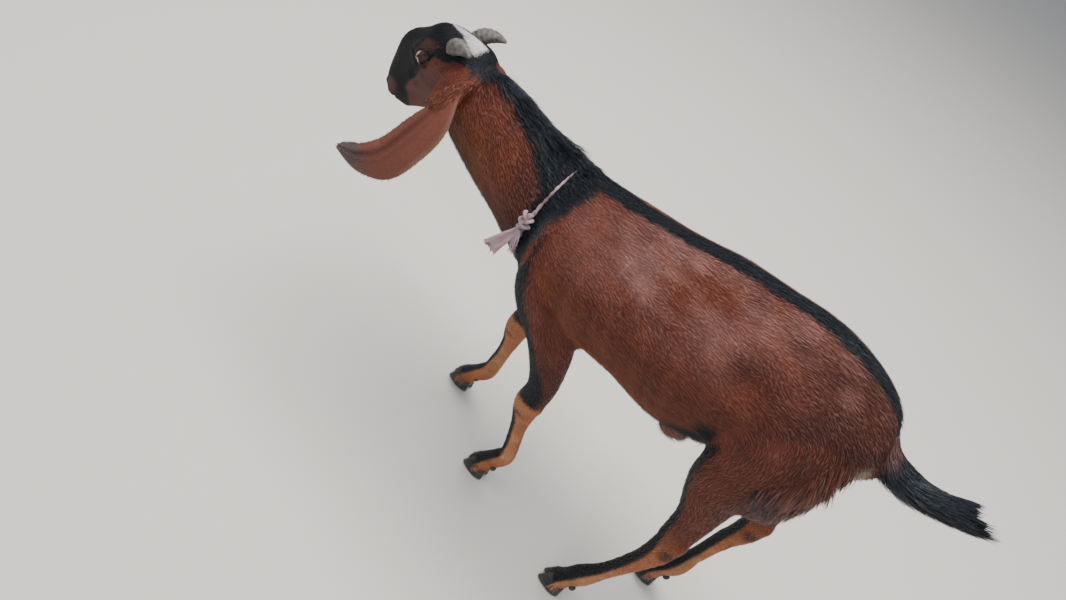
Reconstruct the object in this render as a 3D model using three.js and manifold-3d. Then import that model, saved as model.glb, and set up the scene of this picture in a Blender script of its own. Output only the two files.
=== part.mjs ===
// A young long-eared billy goat walking with its head low: a still, life-size model.
// Millimetres, +Z up. The goat faces -X, its left side is -Y, and it stands on Z = 0.
// The origin is on the floor, under the middle of the whole goat.
import * as THREE from "three";
import { mergeVertices } from "three/addons/utils/BufferGeometryUtils.js";
import Module from "manifold-3d";

const wasm = await Module();
wasm.setup();

// Driving sizes
const WITHERS = 628; // height of the back over the shoulders
const LOIN = 691; // height of the back over the loins
const CROUP = 722; // height of the back over the hips
const CHEST_FLOOR = 388; // height of the breast between the elbows
const BELLY_FLOOR = 402; // lowest line of the belly
const RIB_HALF = 110; // half width of the ribs
const HEAD_AT = new THREE.Vector3(-511, 0, 600); // where the skull meets the neck
const HEAD_PITCH = 48; // nose below the level, degrees
const HEAD_ROLL = 8; // left side of the head lower, degrees
const HOOF_TOP = 33; // height of the hoof wall
const HOOF_HALF = 18; // half width of a whole foot
const FORE_TRACK = 53; // half distance between the fore feet
const HIND_TRACK = 86; // half distance between the hind feet
const EYE_RADIUS = 12.5;
const COLLAR_AT = 1.78; // stations of the neck from its rear end to the collar
const COLLAR_RADIUS = 5;
const CUT = 0.3; // gap left where two nodes meet

// ---------------------------------------------------------------- helpers

// Smooth value between stations: a uniform Catmull-Rom curve through numbers.
function between(a, b, c, d, t) {
  const bend = 2 * b + (c - a) * t + (2 * a - 5 * b + 4 * c - d) * t * t;
  return (bend + (3 * b - a - 3 * c + d) * t * t * t) / 2;
}

// One station of a loft: a centre, the half width to either side, and the half heights over and
// under the centre line. pinch narrows the over side, keel the under side, and turn rolls the
// section about the centre line, in degrees.
function station(x, y, z, side, over, under = over, extra = {}) {
  return { x, y, z, side, over, under, pinch: 0, keel: 0, turn: 0, ...extra };
}

// The value of one field of a row of stations, u stations from the first.
function fieldAt(stations, key, u) {
  const last = stations.length - 1;
  const i = Math.min(Math.floor(u), last - 1);
  const pick = (k) => stations[Math.max(0, Math.min(last, k))][key];
  return between(pick(i - 1), pick(i), pick(i + 1), pick(i + 2), u - i);
}

// A point of the section u stations along, at an angle from its side axis. grow swells it.
function sectionPoint(stations, u, angle, grow = 0) {
  const at = (key, where = u) => fieldAt(stations, key, where);
  const centre = (v) => new THREE.Vector3(at("x", v), at("y", v), at("z", v));
  const last = stations.length - 1;
  const ahead = centre(Math.min(u + 0.05, last));
  const along = ahead.sub(centre(Math.max(u - 0.05, 0))).normalize();
  const across = new THREE.Vector3(0, 1, 0).addScaledVector(along, -along.y).normalize();
  across.applyAxisAngle(along, THREE.MathUtils.degToRad(at("turn")));
  const up = new THREE.Vector3().crossVectors(across, along);
  const rise = Math.sin(angle);
  const narrow = rise > 0 ? at("pinch") : at("keel");
  const wide = Math.max(at("side") + grow, 0.5) * (1 - narrow * rise * rise);
  const tall = Math.max(at(rise > 0 ? "over" : "under") + grow, 0.5);
  const point = centre(u).addScaledVector(across, Math.cos(angle) * wide);
  return point.addScaledVector(up, rise * tall);
}

// Closed surface through the stations, with a flat or pointed pole at each end.
function loft(stations, { steps = 2, sides = 16, grow = 0 } = {}) {
  const last = stations.length - 1;
  const rings = last * steps;
  const points = [];
  for (let r = 0; r <= rings; r += 1) {
    for (let s = 0; s < sides; s += 1) {
      points.push(sectionPoint(stations, r / steps, (s / sides) * 2 * Math.PI, grow));
    }
  }
  const pole = ({ x, y, z }) => new THREE.Vector3(x, y, z);
  points.push(pole(stations[0]), pole(stations[last]));
  return new THREE.BufferGeometry().setFromPoints(points).setIndex(facets(rings, sides));
}

// Triangles over rings of points that end in two poles.
function facets(rings, sides) {
  const index = [];
  const pole = (rings + 1) * sides;
  for (let s = 0; s < sides; s += 1) {
    const next = (s + 1) % sides;
    for (let r = 0; r < rings; r += 1) {
      const a = r * sides + s;
      const b = r * sides + next;
      index.push(a, a + sides, b, b, a + sides, b + sides);
    }
    index.push(pole, s, next);
    index.push(pole + 1, rings * sides + next, rings * sides + s);
  }
  return index;
}

// Closed round tube through a ring of centres.
function closedTube(centres, radius, sides) {
  const count = centres.length;
  const points = [];
  centres.forEach((centre, i) => {
    const along = centres[(i + 1) % count].clone().sub(centres[(i + count - 1) % count]);
    const across = new THREE.Vector3(1, 0, 0).cross(along).normalize();
    const up = new THREE.Vector3().crossVectors(along, across).normalize();
    for (let s = 0; s < sides; s += 1) {
      const angle = (s / sides) * 2 * Math.PI;
      const point = centre.clone().addScaledVector(across, Math.cos(angle) * radius);
      points.push(point.addScaledVector(up, Math.sin(angle) * radius));
    }
  });
  const index = [];
  for (let i = 0; i < count; i += 1) {
    for (let s = 0; s < sides; s += 1) {
      const a = i * sides + s;
      const b = i * sides + ((s + 1) % sides);
      const c = ((i + 1) % count) * sides + s;
      const d = ((i + 1) % count) * sides + ((s + 1) % sides);
      index.push(a, b, c, b, d, c);
    }
  }
  return new THREE.BufferGeometry().setFromPoints(points).setIndex(index);
}

// A three.js geometry as a solid, turned right side out.
function solid(geometry) {
  const bare = geometry.clone();
  bare.deleteAttribute("normal");
  bare.deleteAttribute("uv");
  const merged = mergeVertices(bare, 1e-3);
  const triVerts = new Uint32Array(merged.index.array);
  const vertProperties = merged.attributes.position.array;
  const made = new wasm.Manifold(new wasm.Mesh({ numProp: 3, vertProperties, triVerts }));
  if (made.volume() > 0) return made;
  for (let i = 0; i < triVerts.length; i += 3) {
    [triVerts[i + 1], triVerts[i + 2]] = [triVerts[i + 2], triVerts[i + 1]];
  }
  return new wasm.Manifold(new wasm.Mesh({ numProp: 3, vertProperties, triVerts }));
}

// A ball or egg, squashed to three half sizes and moved to its place.
function egg(x, y, z, halfX, halfY, halfZ, pitch = 0) {
  const round = Math.max(halfX, halfY, halfZ) > 10 ? 11 : 7;
  const geometry = new THREE.SphereGeometry(1, round, round * 0.6);
  geometry.scale(halfX, halfY, halfZ);
  geometry.rotateY(THREE.MathUtils.degToRad(pitch));
  return geometry.translate(x, y, z);
}

// A box between two corners, as a cutting tool.
function block(low, high) {
  const size = high.map((value, i) => value - low[i]);
  const geometry = new THREE.BoxGeometry(...size);
  return geometry.translate(...low.map((value, i) => value + size[i] / 2));
}

// A solid as a named mesh.
function meshOf(name, body, material) {
  const { vertProperties, triVerts } = body.getMesh();
  const geometry = new THREE.BufferGeometry();
  geometry.setAttribute("position", new THREE.BufferAttribute(vertProperties, 3));
  geometry.setIndex(new THREE.BufferAttribute(triVerts, 1));
  geometry.computeVertexNormals();
  const mesh = new THREE.Mesh(geometry, material);
  mesh.name = name;
  return mesh;
}

// ---------------------------------------------------------------- body

const BARREL = [
  station(275, 0, 588, 18, 24, 28),
  station(261, 0, 597, 48, 45, 62),
  station(216, 0, 606, 75, CROUP - 622, 98, { pinch: 0.3 }),
  station(150, 0, 596, 95, CROUP - 596, 122, { pinch: 0.22 }),
  station(80, 0, 572, 102, 137, 140, { pinch: 0.25, keel: 0.2 }),
  station(10, 0, 549, 112, LOIN - 549, 549 - BELLY_FLOOR, { pinch: 0.22, keel: 0.05 }),
  station(-70, 0, 530, 114, 133, 126, { pinch: 0.25, keel: 0.08 }),
  station(-150, 0, 512, RIB_HALF, 130, 124, { pinch: 0.2, keel: 0.15 }),
  station(-215, 0, 498, 98, WITHERS - 498, 498 - CHEST_FLOOR, { pinch: 0.3, keel: 0.2 }),
  station(-262, 0, 492, 84, 130, 94, { pinch: 0.35, keel: 0.2 }),
  station(-294, 0, 484, 62, 84, 70, { pinch: 0.25, keel: 0.2 }),
  station(-310, 0, 474, 24, 30),
];

function barrel(grow = 0) {
  return solid(loft(BARREL, { sides: 18, grow }));
}

// The sheath under the belly and the purse between the thighs of a young male.
function underside() {
  const sheath = solid(egg(70, 0, 391, 24, 13, 20, -20)).add(solid(egg(92, 0, 433, 37, 16, 28, -20)));
  return sheath.add(solid(egg(192, 0, 462, 24, 20, 42)));
}

const NECK = [
  station(-190, 0, 515, 40, 50),
  station(-230, 0, 514, 80, 108, 100, { pinch: 0.35, keel: 0.2 }),
  station(-290, 0, 512, 76, 112, 98, { pinch: 0.3, keel: 0.25 }),
  station(-350, 0, 520, 66, 103, 86, { pinch: 0.25, keel: 0.25 }),
  station(-410, 0, 532, 60, 96, 82, { pinch: 0.25, keel: 0.25 }),
  station(-460, 0, 543, 56, 91, 74, { pinch: 0.2, keel: 0.2 }),
  station(-500, 0, 558, 50, 78, 68, { pinch: 0.15, keel: 0.2 }),
  station(-530, 0, 575, 36, 50, 50),
];

// Stations of the skull in its own frame: it faces -X from the joint with the neck at the origin.
const SKULL = [
  station(26, 0, 2, 12, 12),
  station(16, 0, 2, 36, 28, 32),
  station(-5, 0, 4, 46, 50, 48, { pinch: 0.05 }),
  station(-35, 0, 6, 50, 74, 58, { pinch: 0.1, keel: 0.25 }),
  station(-68, 0, 6, 48, 76, 60, { pinch: 0.2, keel: 0.4 }),
  station(-102, 0, 5, 38, 80, 54, { pinch: 0.35, keel: 0.35 }),
  station(-132, 0, 5, 31, 74, 48, { pinch: 0.35, keel: 0.3 }),
  station(-157, 0, 5, 28, 58, 42, { pinch: 0.3, keel: 0.2 }),
  station(-178, 0, 5, 26, 40, 34, { pinch: 0.15, keel: 0.1 }),
  station(-193, 0, 4, 21, 20, 21),
  station(-200, 0, 3, 8, 8),
];

// Turns a shape of the head's own frame into the body's.
function onHead(geometry) {
  const turn = new THREE.Matrix4().makeRotationY(-THREE.MathUtils.degToRad(HEAD_PITCH));
  turn.multiply(new THREE.Matrix4().makeRotationX(THREE.MathUtils.degToRad(HEAD_ROLL)));
  return geometry.applyMatrix4(turn.setPosition(HEAD_AT));
}

// The skull with its brows. grow swells it for cutting.
function skull(grow = 0) {
  let made = solid(onHead(loft(SKULL, { sides: 14, grow })));
  for (const side of [-1, 1]) {
    made = made.add(solid(onHead(egg(-66, side * 28, 48, 30 + grow, 19 + grow, 20 + grow))));
  }
  return made;
}

// The slit between the lips and the two nostrils, as cutting tools.
function faceOpenings() {
  let cut = solid(onHead(egg(-184, 0, -11, 34, 40, 1.4, 8)));
  for (const side of [-1, 1]) {
    cut = cut.add(solid(onHead(egg(-193, side * 15, 17, 7, 5, 3, 30))));
  }
  return cut;
}

function eyeball(side, grow) {
  const radius = EYE_RADIUS + grow;
  return solid(onHead(egg(-65, side * 35.5, 42, radius, radius, radius)));
}

function horn(side, grow) {
  return solid(onHead(loft([
    station(-18, side * 22, 34, 12, 12),
    station(-4, side * 27, 41, 12.5, 13),
    station(10, side * 32, 41, 11.5, 12),
    station(24, side * 38, 34, 8, 8.5),
    station(35, side * 42, 24, 2.5, 2.5),
  ], { steps: 1, sides: 10, grow })));
}

// The left ear swings forward and out; the right one hangs close to the cheek.
const EAR_SWUNG = [
  station(-502, -34, 604, 7, 16),
  station(-500, -56, 592, 6, 20),
  station(-484, -94, 549, 4, 30),
  station(-493, -119, 500, 4, 34),
  station(-510, -137, 456, 4, 33),
  station(-540, -147, 430, 4, 26),
  station(-564, -151, 421, 4, 20),
  station(-588, -153, 417, 2, 6),
];
const EAR_HANGING = [
  station(-506, 32, 598, 7, 16),
  station(-508, 50, 584, 6, 20),
  station(-504, 68, 545, 4, 25),
  station(-496, 76, 504, 4, 28),
  station(-484, 80, 464, 4, 28),
  station(-470, 80, 430, 4, 24),
  station(-458, 78, 406, 4, 17),
  station(-450, 76, 392, 2, 5),
];

function ear(stations, rootGrown) {
  return solid(loft(stations, { sides: 8 })).subtract(rootGrown);
}

// ---------------------------------------------------------------- legs

// A leg that is stretched forward bends more at the knee and slopes more at the pastern.
function foreleg(side, hoofX, kneeX) {
  const track = side * FORE_TRACK;
  const stretch = kneeX + 112;
  const slope = (kneeX - hoofX) / 4;
  return solid(loft([
    station(-232, side * 52, 560, 20, 30),
    station(-222, side * 62, 520, 32, 42, 52),
    station(-192, side * 66, 450, 33, 60, 72),
    station(-141 + 0.4 * stretch, side * 62, 380, 27, 46, 44),
    station(kneeX + 2 - 0.1 * stretch, side * 56, 300, 21, 34, 25),
    station(kneeX, track, 232, 20, 29, 25),
    station(kneeX + 8 + 0.06 * stretch, track, 180, 15, 17, 20),
    station(hoofX + 26 + slope, track, 110, 15, 18, 19),
    station(hoofX + 21 + slope, track, 84, 18, 20, 21),
    station(hoofX + 7 + slope / 2, track, 54, 17, 18, 20),
    station(hoofX - 1, track, 30, HOOF_HALF + 1, 21, 22),
  ], { sides: 10 }));
}

function hindleg(side, hoofX, hockX, stifleX) {
  const track = side * HIND_TRACK;
  return solid(loft([
    station(170, side * 40, 640, 24, 40, 50),
    station(176, side * 54, 590, 38, 66, 80),
    station(184, side * 62, 520, 39, 66, 80),
    station((stifleX + 190) / 2 + 4, side * 68, 450, 35, 46, 56),
    station((stifleX + hockX) / 2 + 20, side * 76, 380, 23, 35, 29),
    station(hockX - 4, side * 80, 325, 16, 30, 26),
    station(hockX, side * 82, 284, 17, 28, 22),
    station(hockX - 8, side * 84, 230, 15, 22, 18),
    station((hockX + hoofX) / 2 + 6, track, 150, 13, 19, 16),
    station(hoofX + 22, track, 90, 17, 25, 20),
    station(hoofX + 9, track, 54, 17, 21, 18),
    station(hoofX, track, 30, HOOF_HALF + 1, 21, 20),
  ], { sides: 10 }));
}

function claw(x, y) {
  const half = HOOF_HALF / 2 - 0.4;
  return solid(loft([
    station(x, y, HOOF_TOP, half - 0.6, 17, 17),
    station(x, y, 18, half, 23, 19),
    station(x, y, 4, half, 28, 20),
    station(x, y, 0, half - 1, 27, 18),
  ], { steps: 1, sides: 10 }));
}

function dewclaw(x, y, grow) {
  return solid(egg(x + 28, y, 57, 6 + grow, 5.5 + grow, 8 + grow, 25));
}

// ---------------------------------------------------------------- tail and collar

function tail() {
  const stations = [
    station(216, 0, 676, 14, 14),
    station(240, 0, 662, 22, 24, 16),
    station(272, 0, 632, 24, 25, 20),
    station(310, 0, 624, 22, 22, 18),
    station(344, 0, 632, 19, 20, 17),
    station(372, 0, 647, 16, 21),
    station(392, 0, 662, 9, 14),
    station(404, 0, 672, 2, 4),
  ];
  return solid(loft(stations, { sides: 10 })).subtract(barrel(CUT));
}

// The strip of cloth round the base of the neck. It lies in the coat, so the neck is cut for it.
function collar(grow) {
  const count = 14;
  const centres = [];
  for (let i = 0; i < count; i += 1) {
    centres.push(sectionPoint(NECK, COLLAR_AT, (i / count) * 2 * Math.PI));
  }
  return solid(closedTube(centres, COLLAR_RADIUS + grow, 6));
}

// The knot at the left of the throat, and the short end of cloth that hangs from it.
function knot(neckGrown) {
  const lump = solid(egg(-279, -79, 531, 11, 8, 20, 12));
  return lump.subtract(neckGrown).subtract(barrel(CUT)).subtract(collar(CUT));
}

function clothEnd(grow = 0) {
  return solid(loft([
    station(-282, -82, 511, 1.6, 7),
    station(-289, -85.5, 491, 1.4, 12),
    station(-298, -87.5, 468, 1.2, 15),
    station(-304, -88, 453, 1, 13),
  ], { sides: 10, grow }));
}

// ---------------------------------------------------------------- parting into nodes

// Everything in front of a plane across the body. The plane passes through (x, z) and leans back
// at its top by lean degrees.
function inFrontOf(x, z, lean) {
  const reach = 600;
  const geometry = new THREE.BoxGeometry(reach, reach, reach).translate(-reach / 2, 0, 0);
  geometry.rotateY(THREE.MathUtils.degToRad(lean));
  return solid(geometry.translate(x, 0, z));
}

// The space one leg takes: outside the midline strip and under a level.
function legSpace(side, fromX, toX, inner, top) {
  const low = [fromX, side < 0 ? -200 : inner, -10];
  const high = [toX, side < 0 ? -inner : 200, top];
  return solid(block(low, high));
}

const HEAD_CUT = [-503, 560, 10];
const NECK_CUT = [-250, 510, 6];
const FORE_SPACE = [-340, -40, 26, 402];
const HIND_SPACE = [60, 330, 24, 480];
const LEGS = [
  { name: "foreleg_left", side: -1, hoofX: -113, body: foreleg(-1, -113, -112), space: FORE_SPACE },
  { name: "foreleg_right", side: 1, hoofX: -272, body: foreleg(1, -272, -238), space: FORE_SPACE },
  { name: "hindleg_left", side: -1, hoofX: 131, body: hindleg(-1, 131, 196, 140), space: HIND_SPACE },
  { name: "hindleg_right", side: 1, hoofX: 236, body: hindleg(1, 236, 275, 190), space: HIND_SPACE },
];

const coat = new THREE.MeshStandardMaterial({ color: 0x5a2c20, roughness: 0.55, metalness: 0 });
const blackCoat = new THREE.MeshStandardMaterial({ color: 0x16151a, roughness: 0.6, metalness: 0 });
const hornStuff = new THREE.MeshStandardMaterial({ color: 0x77736c, roughness: 0.6, metalness: 0 });
const hoofStuff = new THREE.MeshStandardMaterial({ color: 0x3b3a3c, roughness: 0.5, metalness: 0 });
const eyeStuff = new THREE.MeshStandardMaterial({ color: 0x1b1209, roughness: 0.1, metalness: 0 });
const cloth = new THREE.MeshStandardMaterial({ color: 0xc9a9a6, roughness: 0.9, metalness: 0 });

const goat = new THREE.Group();
const neckGrown = solid(loft(NECK, { sides: 16, grow: CUT }));
const neck = solid(loft(NECK, { sides: 16 }));

function addLegs(flesh) {
  let rest = flesh;
  for (const { name, side, hoofX, space } of LEGS) {
    const track = space === FORE_SPACE ? FORE_TRACK : HIND_TRACK;
    let leg = flesh.intersect(legSpace(side, ...space));
    leg = leg.subtract(solid(block([-600, -300, -50], [600, 300, HOOF_TOP + CUT])));
    rest = rest.subtract(legSpace(side, space[0], space[1], space[2] - CUT, space[3] + CUT));
    for (const [place, out] of [["outer", 1], ["inner", -1]]) {
      const y = side * (track + (out * HOOF_HALF) / 2);
      goat.add(meshOf(`${name}_claw_${place}`, claw(hoofX, y), hoofStuff));
      goat.add(meshOf(`${name}_dewclaw_${place}`, dewclaw(hoofX, y, 0), hoofStuff));
      leg = leg.subtract(dewclaw(hoofX, y, CUT));
    }
    goat.add(meshOf(name, leg, coat));
  }
  return rest;
}

function addHead(flesh) {
  let head = flesh.intersect(inFrontOf(...HEAD_CUT)).subtract(faceOpenings());
  const root = skull(CUT).add(neckGrown);
  for (const [place, side, stations] of [["left", -1, EAR_SWUNG], ["right", 1, EAR_HANGING]]) {
    goat.add(meshOf(`ear_${place}`, ear(stations, root), coat));
    goat.add(meshOf(`horn_${place}`, horn(side, 0), hornStuff));
    goat.add(meshOf(`eye_${place}`, eyeball(side, 0), eyeStuff));
    head = head.subtract(horn(side, CUT)).subtract(eyeball(side, CUT));
  }
  goat.add(meshOf("head", head, coat));
}

function addNeckAndTrunk(flesh) {
  const [headX, headZ, headLean] = HEAD_CUT;
  const [neckX, neckZ, neckLean] = NECK_CUT;
  const behindHead = flesh.subtract(inFrontOf(headX + CUT, headZ, headLean));
  const collared = behindHead.subtract(collar(CUT));
  goat.add(meshOf("neck", collared.intersect(inFrontOf(neckX, neckZ, neckLean)), coat));
  goat.add(meshOf("trunk", collared.subtract(inFrontOf(neckX + CUT, neckZ, neckLean)), coat));
  goat.add(meshOf("collar", collar(0), cloth));
  goat.add(meshOf("collar_knot", knot(neckGrown).subtract(clothEnd(CUT)), cloth));
  goat.add(meshOf("collar_end", clothEnd().subtract(collar(CUT)), cloth));
}

let flesh = barrel().add(underside()).add(neck).add(skull());
for (const { body } of LEGS) flesh = flesh.add(body);
addHead(flesh);
addNeckAndTrunk(addLegs(flesh));
goat.add(meshOf("tail", tail(), blackCoat));

// The origin goes to the floor under the middle of the goat.
const bounds = new THREE.Box3().setFromObject(goat);
const middle = bounds.getCenter(new THREE.Vector3());
goat.position.set(-middle.x, -middle.y, -bounds.min.z);

export default goat;
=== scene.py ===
"""Looks of a young long-eared billy goat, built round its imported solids.

One skin stands for the nodes of flesh. It is a union of lofts, smoothed where they meet, with the
muscles, joints and folds pushed up and down on it. Over the skin lie tufts of hair, each a thin
closed spike. Skin and tufts take their colour from one function of where they are on the goat.
Shapes are worked out in millimetres in the goat's own frame: it faces -X, its left side is -Y, and
Z = 0 is the floor.
"""

import math

import bmesh
import bpy
import numpy as np
from mathutils import Matrix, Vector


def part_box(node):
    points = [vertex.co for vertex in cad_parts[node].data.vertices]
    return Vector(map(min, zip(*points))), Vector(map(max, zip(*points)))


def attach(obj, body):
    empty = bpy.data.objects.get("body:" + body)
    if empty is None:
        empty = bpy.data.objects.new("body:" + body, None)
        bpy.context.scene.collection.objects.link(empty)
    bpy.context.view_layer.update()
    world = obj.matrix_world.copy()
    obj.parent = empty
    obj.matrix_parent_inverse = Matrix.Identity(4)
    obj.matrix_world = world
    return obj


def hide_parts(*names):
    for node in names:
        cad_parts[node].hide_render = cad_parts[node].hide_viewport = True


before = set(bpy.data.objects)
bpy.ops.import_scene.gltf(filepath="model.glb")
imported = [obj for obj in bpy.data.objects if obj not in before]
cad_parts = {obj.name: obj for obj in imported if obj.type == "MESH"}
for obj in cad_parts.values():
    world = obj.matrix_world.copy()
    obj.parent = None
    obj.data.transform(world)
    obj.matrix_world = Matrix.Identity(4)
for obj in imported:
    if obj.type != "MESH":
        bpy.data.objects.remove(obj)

bl_info = {
    "name": "Young long-eared goat",
    "version": (1, 0, 0),
    "blender": (4, 5, 0),
    "location": "3D View > Sidebar > Goat",
    "description": "Builds the skin, coat, horns, hooves, eyes and cloth collar of a still goat",
    "category": "Add Mesh",
}

MM = 0.001
TAU = 2 * math.pi
BODY = "root"
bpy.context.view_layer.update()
CLAW_LOW, CLAW_HIGH = (np.array(corner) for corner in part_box("foreleg_left_claw_outer"))
CLAW_TOE, CLAW_TRACK = -141.0, -62.0  # that claw's toe and middle in the goat's own frame
ORIGIN = np.array([
    CLAW_LOW[0] - CLAW_TOE * MM,
    (CLAW_LOW[1] + CLAW_HIGH[1]) / 2 - CLAW_TRACK * MM,
    0.0,
])


# --- numbers and surfaces


def stations(*rows):
    """Rows of a loft: x, y, z, side, over, under, pinch, keel. What is left out at a row's end is
    under = over, pinch = 0 and keel = 0."""
    rows = [row if len(row) > 5 else (*row, row[4]) for row in rows]
    return np.array([(*row, *[0] * (8 - len(row))) for row in rows], float)


def unit(vectors):
    """Vectors divided by their lengths."""
    return vectors / np.maximum(np.linalg.norm(vectors, axis=-1, keepdims=True), 1e-9)


def rise(low, high, value):
    """Smooth step: 0 under low, 1 over high, and 3t^2 - 2t^3 between."""
    t = np.clip((value - low) / (high - low), 0, 1)
    return t * t * (3 - 2 * t)


def eased(rows, u):
    """Uniform Catmull-Rom curve through the rows, all columns at once, u rows from the first."""
    last = len(rows) - 1
    i = np.clip(u.astype(int), 0, last - 1)
    t = (u - i)[:, None]
    a, b, c, d = (rows[np.clip(i + k, 0, last)] for k in (-1, 0, 1, 2))
    bend = 2 * b + (c - a) * t + (2 * a - 5 * b + 4 * c - d) * t**2
    return (bend + (3 * b - a - 3 * c + d) * t**3) / 2


def sections(rows, u):
    """Centres, axes (along, across, up) and sizes of the sections u rows along. across is the
    Y axis made square to along, and up is across x along."""
    last = len(rows) - 1
    here = eased(rows, u)
    ahead = eased(rows, np.minimum(u + 0.05, last))[:, :3]
    along = unit(ahead - eased(rows, np.maximum(u - 0.05, 0))[:, :3])
    across = unit(np.array([0.0, 1.0, 0.0]) - along * along[:, 1:2])
    return here[:, :3], along, across, np.cross(across, along), here[:, 3:]


def rim(size, angle, grow=0.0):
    """Across and up offsets of a section's edge at an angle: an ellipse whose half width shrinks
    by pinch over the middle and by keel under it, times the square of the sine."""
    sine = np.sin(angle)
    narrow = np.where(sine > 0, size[..., 3], size[..., 4])
    wide = np.maximum(size[..., 0] + grow, 0.5) * (1 - narrow * sine**2)
    tall = np.maximum(np.where(sine > 0, size[..., 1], size[..., 2]) + grow, 0.5)
    return np.cos(angle) * wide, sine * tall


def loft(rows, steps=6, sides=32, grow=0.0, bend=None):
    """Closed surface through the rows: rings of points and a pole at each end. grow may be a
    function of u and the angle, and so may bend, which is one more offset across."""
    u = np.linspace(0, len(rows) - 1, (len(rows) - 1) * steps + 1)
    angle = np.linspace(0, TAU, sides, endpoint=False)
    centre, _, across, up, size = sections(rows, u)
    swelling = grow(u[:, None], angle[None]) if callable(grow) else grow
    out, over = rim(size[:, None], angle[None], swelling)
    if bend is not None:
        out = out + bend(u[:, None], angle[None])
    grid = centre[:, None] + across[:, None] * out[..., None] + up[:, None] * over[..., None]
    return closed_rings(grid, centre[0], centre[-1])


def ring_quads(rings, sides):
    """Corners of the quads between rings, with the last ring joined to the first."""
    ring, side = np.arange(rings)[:, None] * sides, np.arange(sides)[None]
    ahead, after = np.roll(ring, -1, 0), (side + 1) % sides
    return np.stack([ring + side, ahead + side, ahead + after, ring + after], -1)


def closed_rings(grid, first, last):
    """Points and faces of rings closed by two poles, wound outwards for rings that turn from
    across to up while they go along."""
    rings, sides = grid.shape[:2]
    points = np.concatenate([grid.reshape(-1, 3), first[None], last[None]])
    side = np.arange(sides)
    after = (side + 1) % sides
    pole, end, none = rings * sides + 0 * side, (rings - 1) * sides, side * 0 - 1
    caps = [np.stack([pole, side, after, none], -1), np.stack([pole + 1, end + after, end + side, none], -1)]
    return points, np.concatenate([ring_quads(rings, sides)[:-1].reshape(-1, 4), *caps])


def egg(centre, radii, pitch=0.0, rings=24, sides=32):
    """Squashed ball: a sphere of rings times three radii, pitched about Y in degrees."""
    lift = np.linspace(-math.pi / 2, math.pi / 2, rings + 2)[1:-1, None]
    turn = -np.linspace(0, TAU, sides, endpoint=False)[None]
    ball = np.stack([np.cos(lift) * np.cos(turn), np.cos(lift) * np.sin(turn),
                     np.sin(lift) + 0 * turn], -1)
    place = lambda points: (points * radii) @ turned("Y", pitch).T + centre
    low, high = place(np.array([[0, 0, -1.0], [0, 0, 1.0]]))
    return closed_rings(place(ball), low, high)


def joined(*surfaces):
    """Several (points, faces) as one."""
    points, faces, count = [], [], 0
    for some, corners in surfaces:
        points.append(some)
        faces.append(np.where(corners < 0, -1, corners + count))
        count += len(some)
    return np.concatenate(points), np.concatenate(faces)


def linked(name, data):
    """A new object in the scene."""
    made = bpy.data.objects.new(name, data)
    bpy.context.scene.collection.objects.link(made)
    return made


def mesh_object(name, points, faces):
    """A mesh object from points in the goat's millimetres and rows of corners, where a -1 at a
    row's end marks a triangle."""
    mesh = bpy.data.meshes.new(name)
    mesh.vertices.add(len(points))
    put_points(mesh, points)
    used = faces >= 0
    mesh.loops.add(int(used.sum()))
    mesh.loops.foreach_set("vertex_index", faces[used].astype(np.int32))
    mesh.polygons.add(len(faces))
    starts = np.concatenate([[0], np.cumsum(used.sum(1))[:-1]])
    mesh.polygons.foreach_set("loop_start", starts.astype(np.int32))
    mesh.update(calc_edges=True)
    mesh.validate()
    mesh.polygons.foreach_set("use_smooth", np.full(len(mesh.polygons), True))
    return linked(name, mesh)


def put_points(mesh, points):
    """Writes points in the goat's millimetres into a mesh."""
    mesh.vertices.foreach_set("co", (points * MM + ORIGIN).astype(np.float32).ravel())


def rows_of(items, field, width, kind=np.int32):
    """One property of a mesh's items, as rows."""
    flat = np.empty(len(items) * width, kind)
    items.foreach_get(field, flat)
    return flat.reshape(-1, width)


def points_of(mesh):
    """A mesh's points in the goat's millimetres."""
    return (rows_of(mesh.vertices, "co", 3, np.float32).astype(float) - ORIGIN) / MM


def edges_of(mesh):
    """Pairs of point numbers, one for each edge."""
    return rows_of(mesh.edges, "vertices", 2)


def triangles_of(mesh):
    """Triples of point numbers."""
    mesh.calc_loop_triangles()
    return rows_of(mesh.loop_triangles, "vertices", 3)


def normals_of(points, triangles):
    """Unit normals at the points: the sum of the triangles' cross products round each."""
    a, b, c = (points[triangles[:, k]] for k in range(3))
    cross = np.cross(b - a, c - a)
    total = np.zeros_like(points)
    for axis in range(3):
        for corner in range(3):
            total[:, axis] += np.bincount(triangles[:, corner], cross[:, axis], len(points))
    return unit(total)


def folded(points):
    """Points with |y| for y, for what both sides share."""
    return points * [1, 0, 1] + np.abs(points) * [0, 1, 0]


def distance_to(points, line):
    """Distance from points to the nearest point of a line."""
    return np.sqrt(((points[:, None] - line) ** 2).sum(-1).min(1))


def relaxed(values, pairs, rounds, weight=1.0):
    """Each round moves every row towards the mean of its neighbours' rows, by half its weight."""
    count = np.maximum(np.bincount(pairs.ravel(), minlength=len(values)), 1)[:, None]
    share = 0.5 * np.broadcast_to(np.asarray(weight, float), len(values))[:, None]
    for _ in range(rounds):
        mean = np.stack([
            np.bincount(pairs[:, 0], column[pairs[:, 1]], len(values))
            + np.bincount(pairs[:, 1], column[pairs[:, 0]], len(values))
            for column in values.T
        ], -1) / count
        values = values + share * (mean - values)
    return values


def ripple(points, size, seed):
    """Smooth noise from -1 to 1 with patches about size across: the mean of seven sine waves in
    directions drawn from the seed."""
    draw = np.random.RandomState(seed)
    waves = unit(draw.normal(size=(7, 3))) * TAU / (size * draw.uniform(0.7, 1.6, (7, 1)))
    return np.sin(points @ waves.T + draw.uniform(0, TAU, 7)).mean(1) * 1.9


# --- the goat's sizes, in mm

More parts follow.
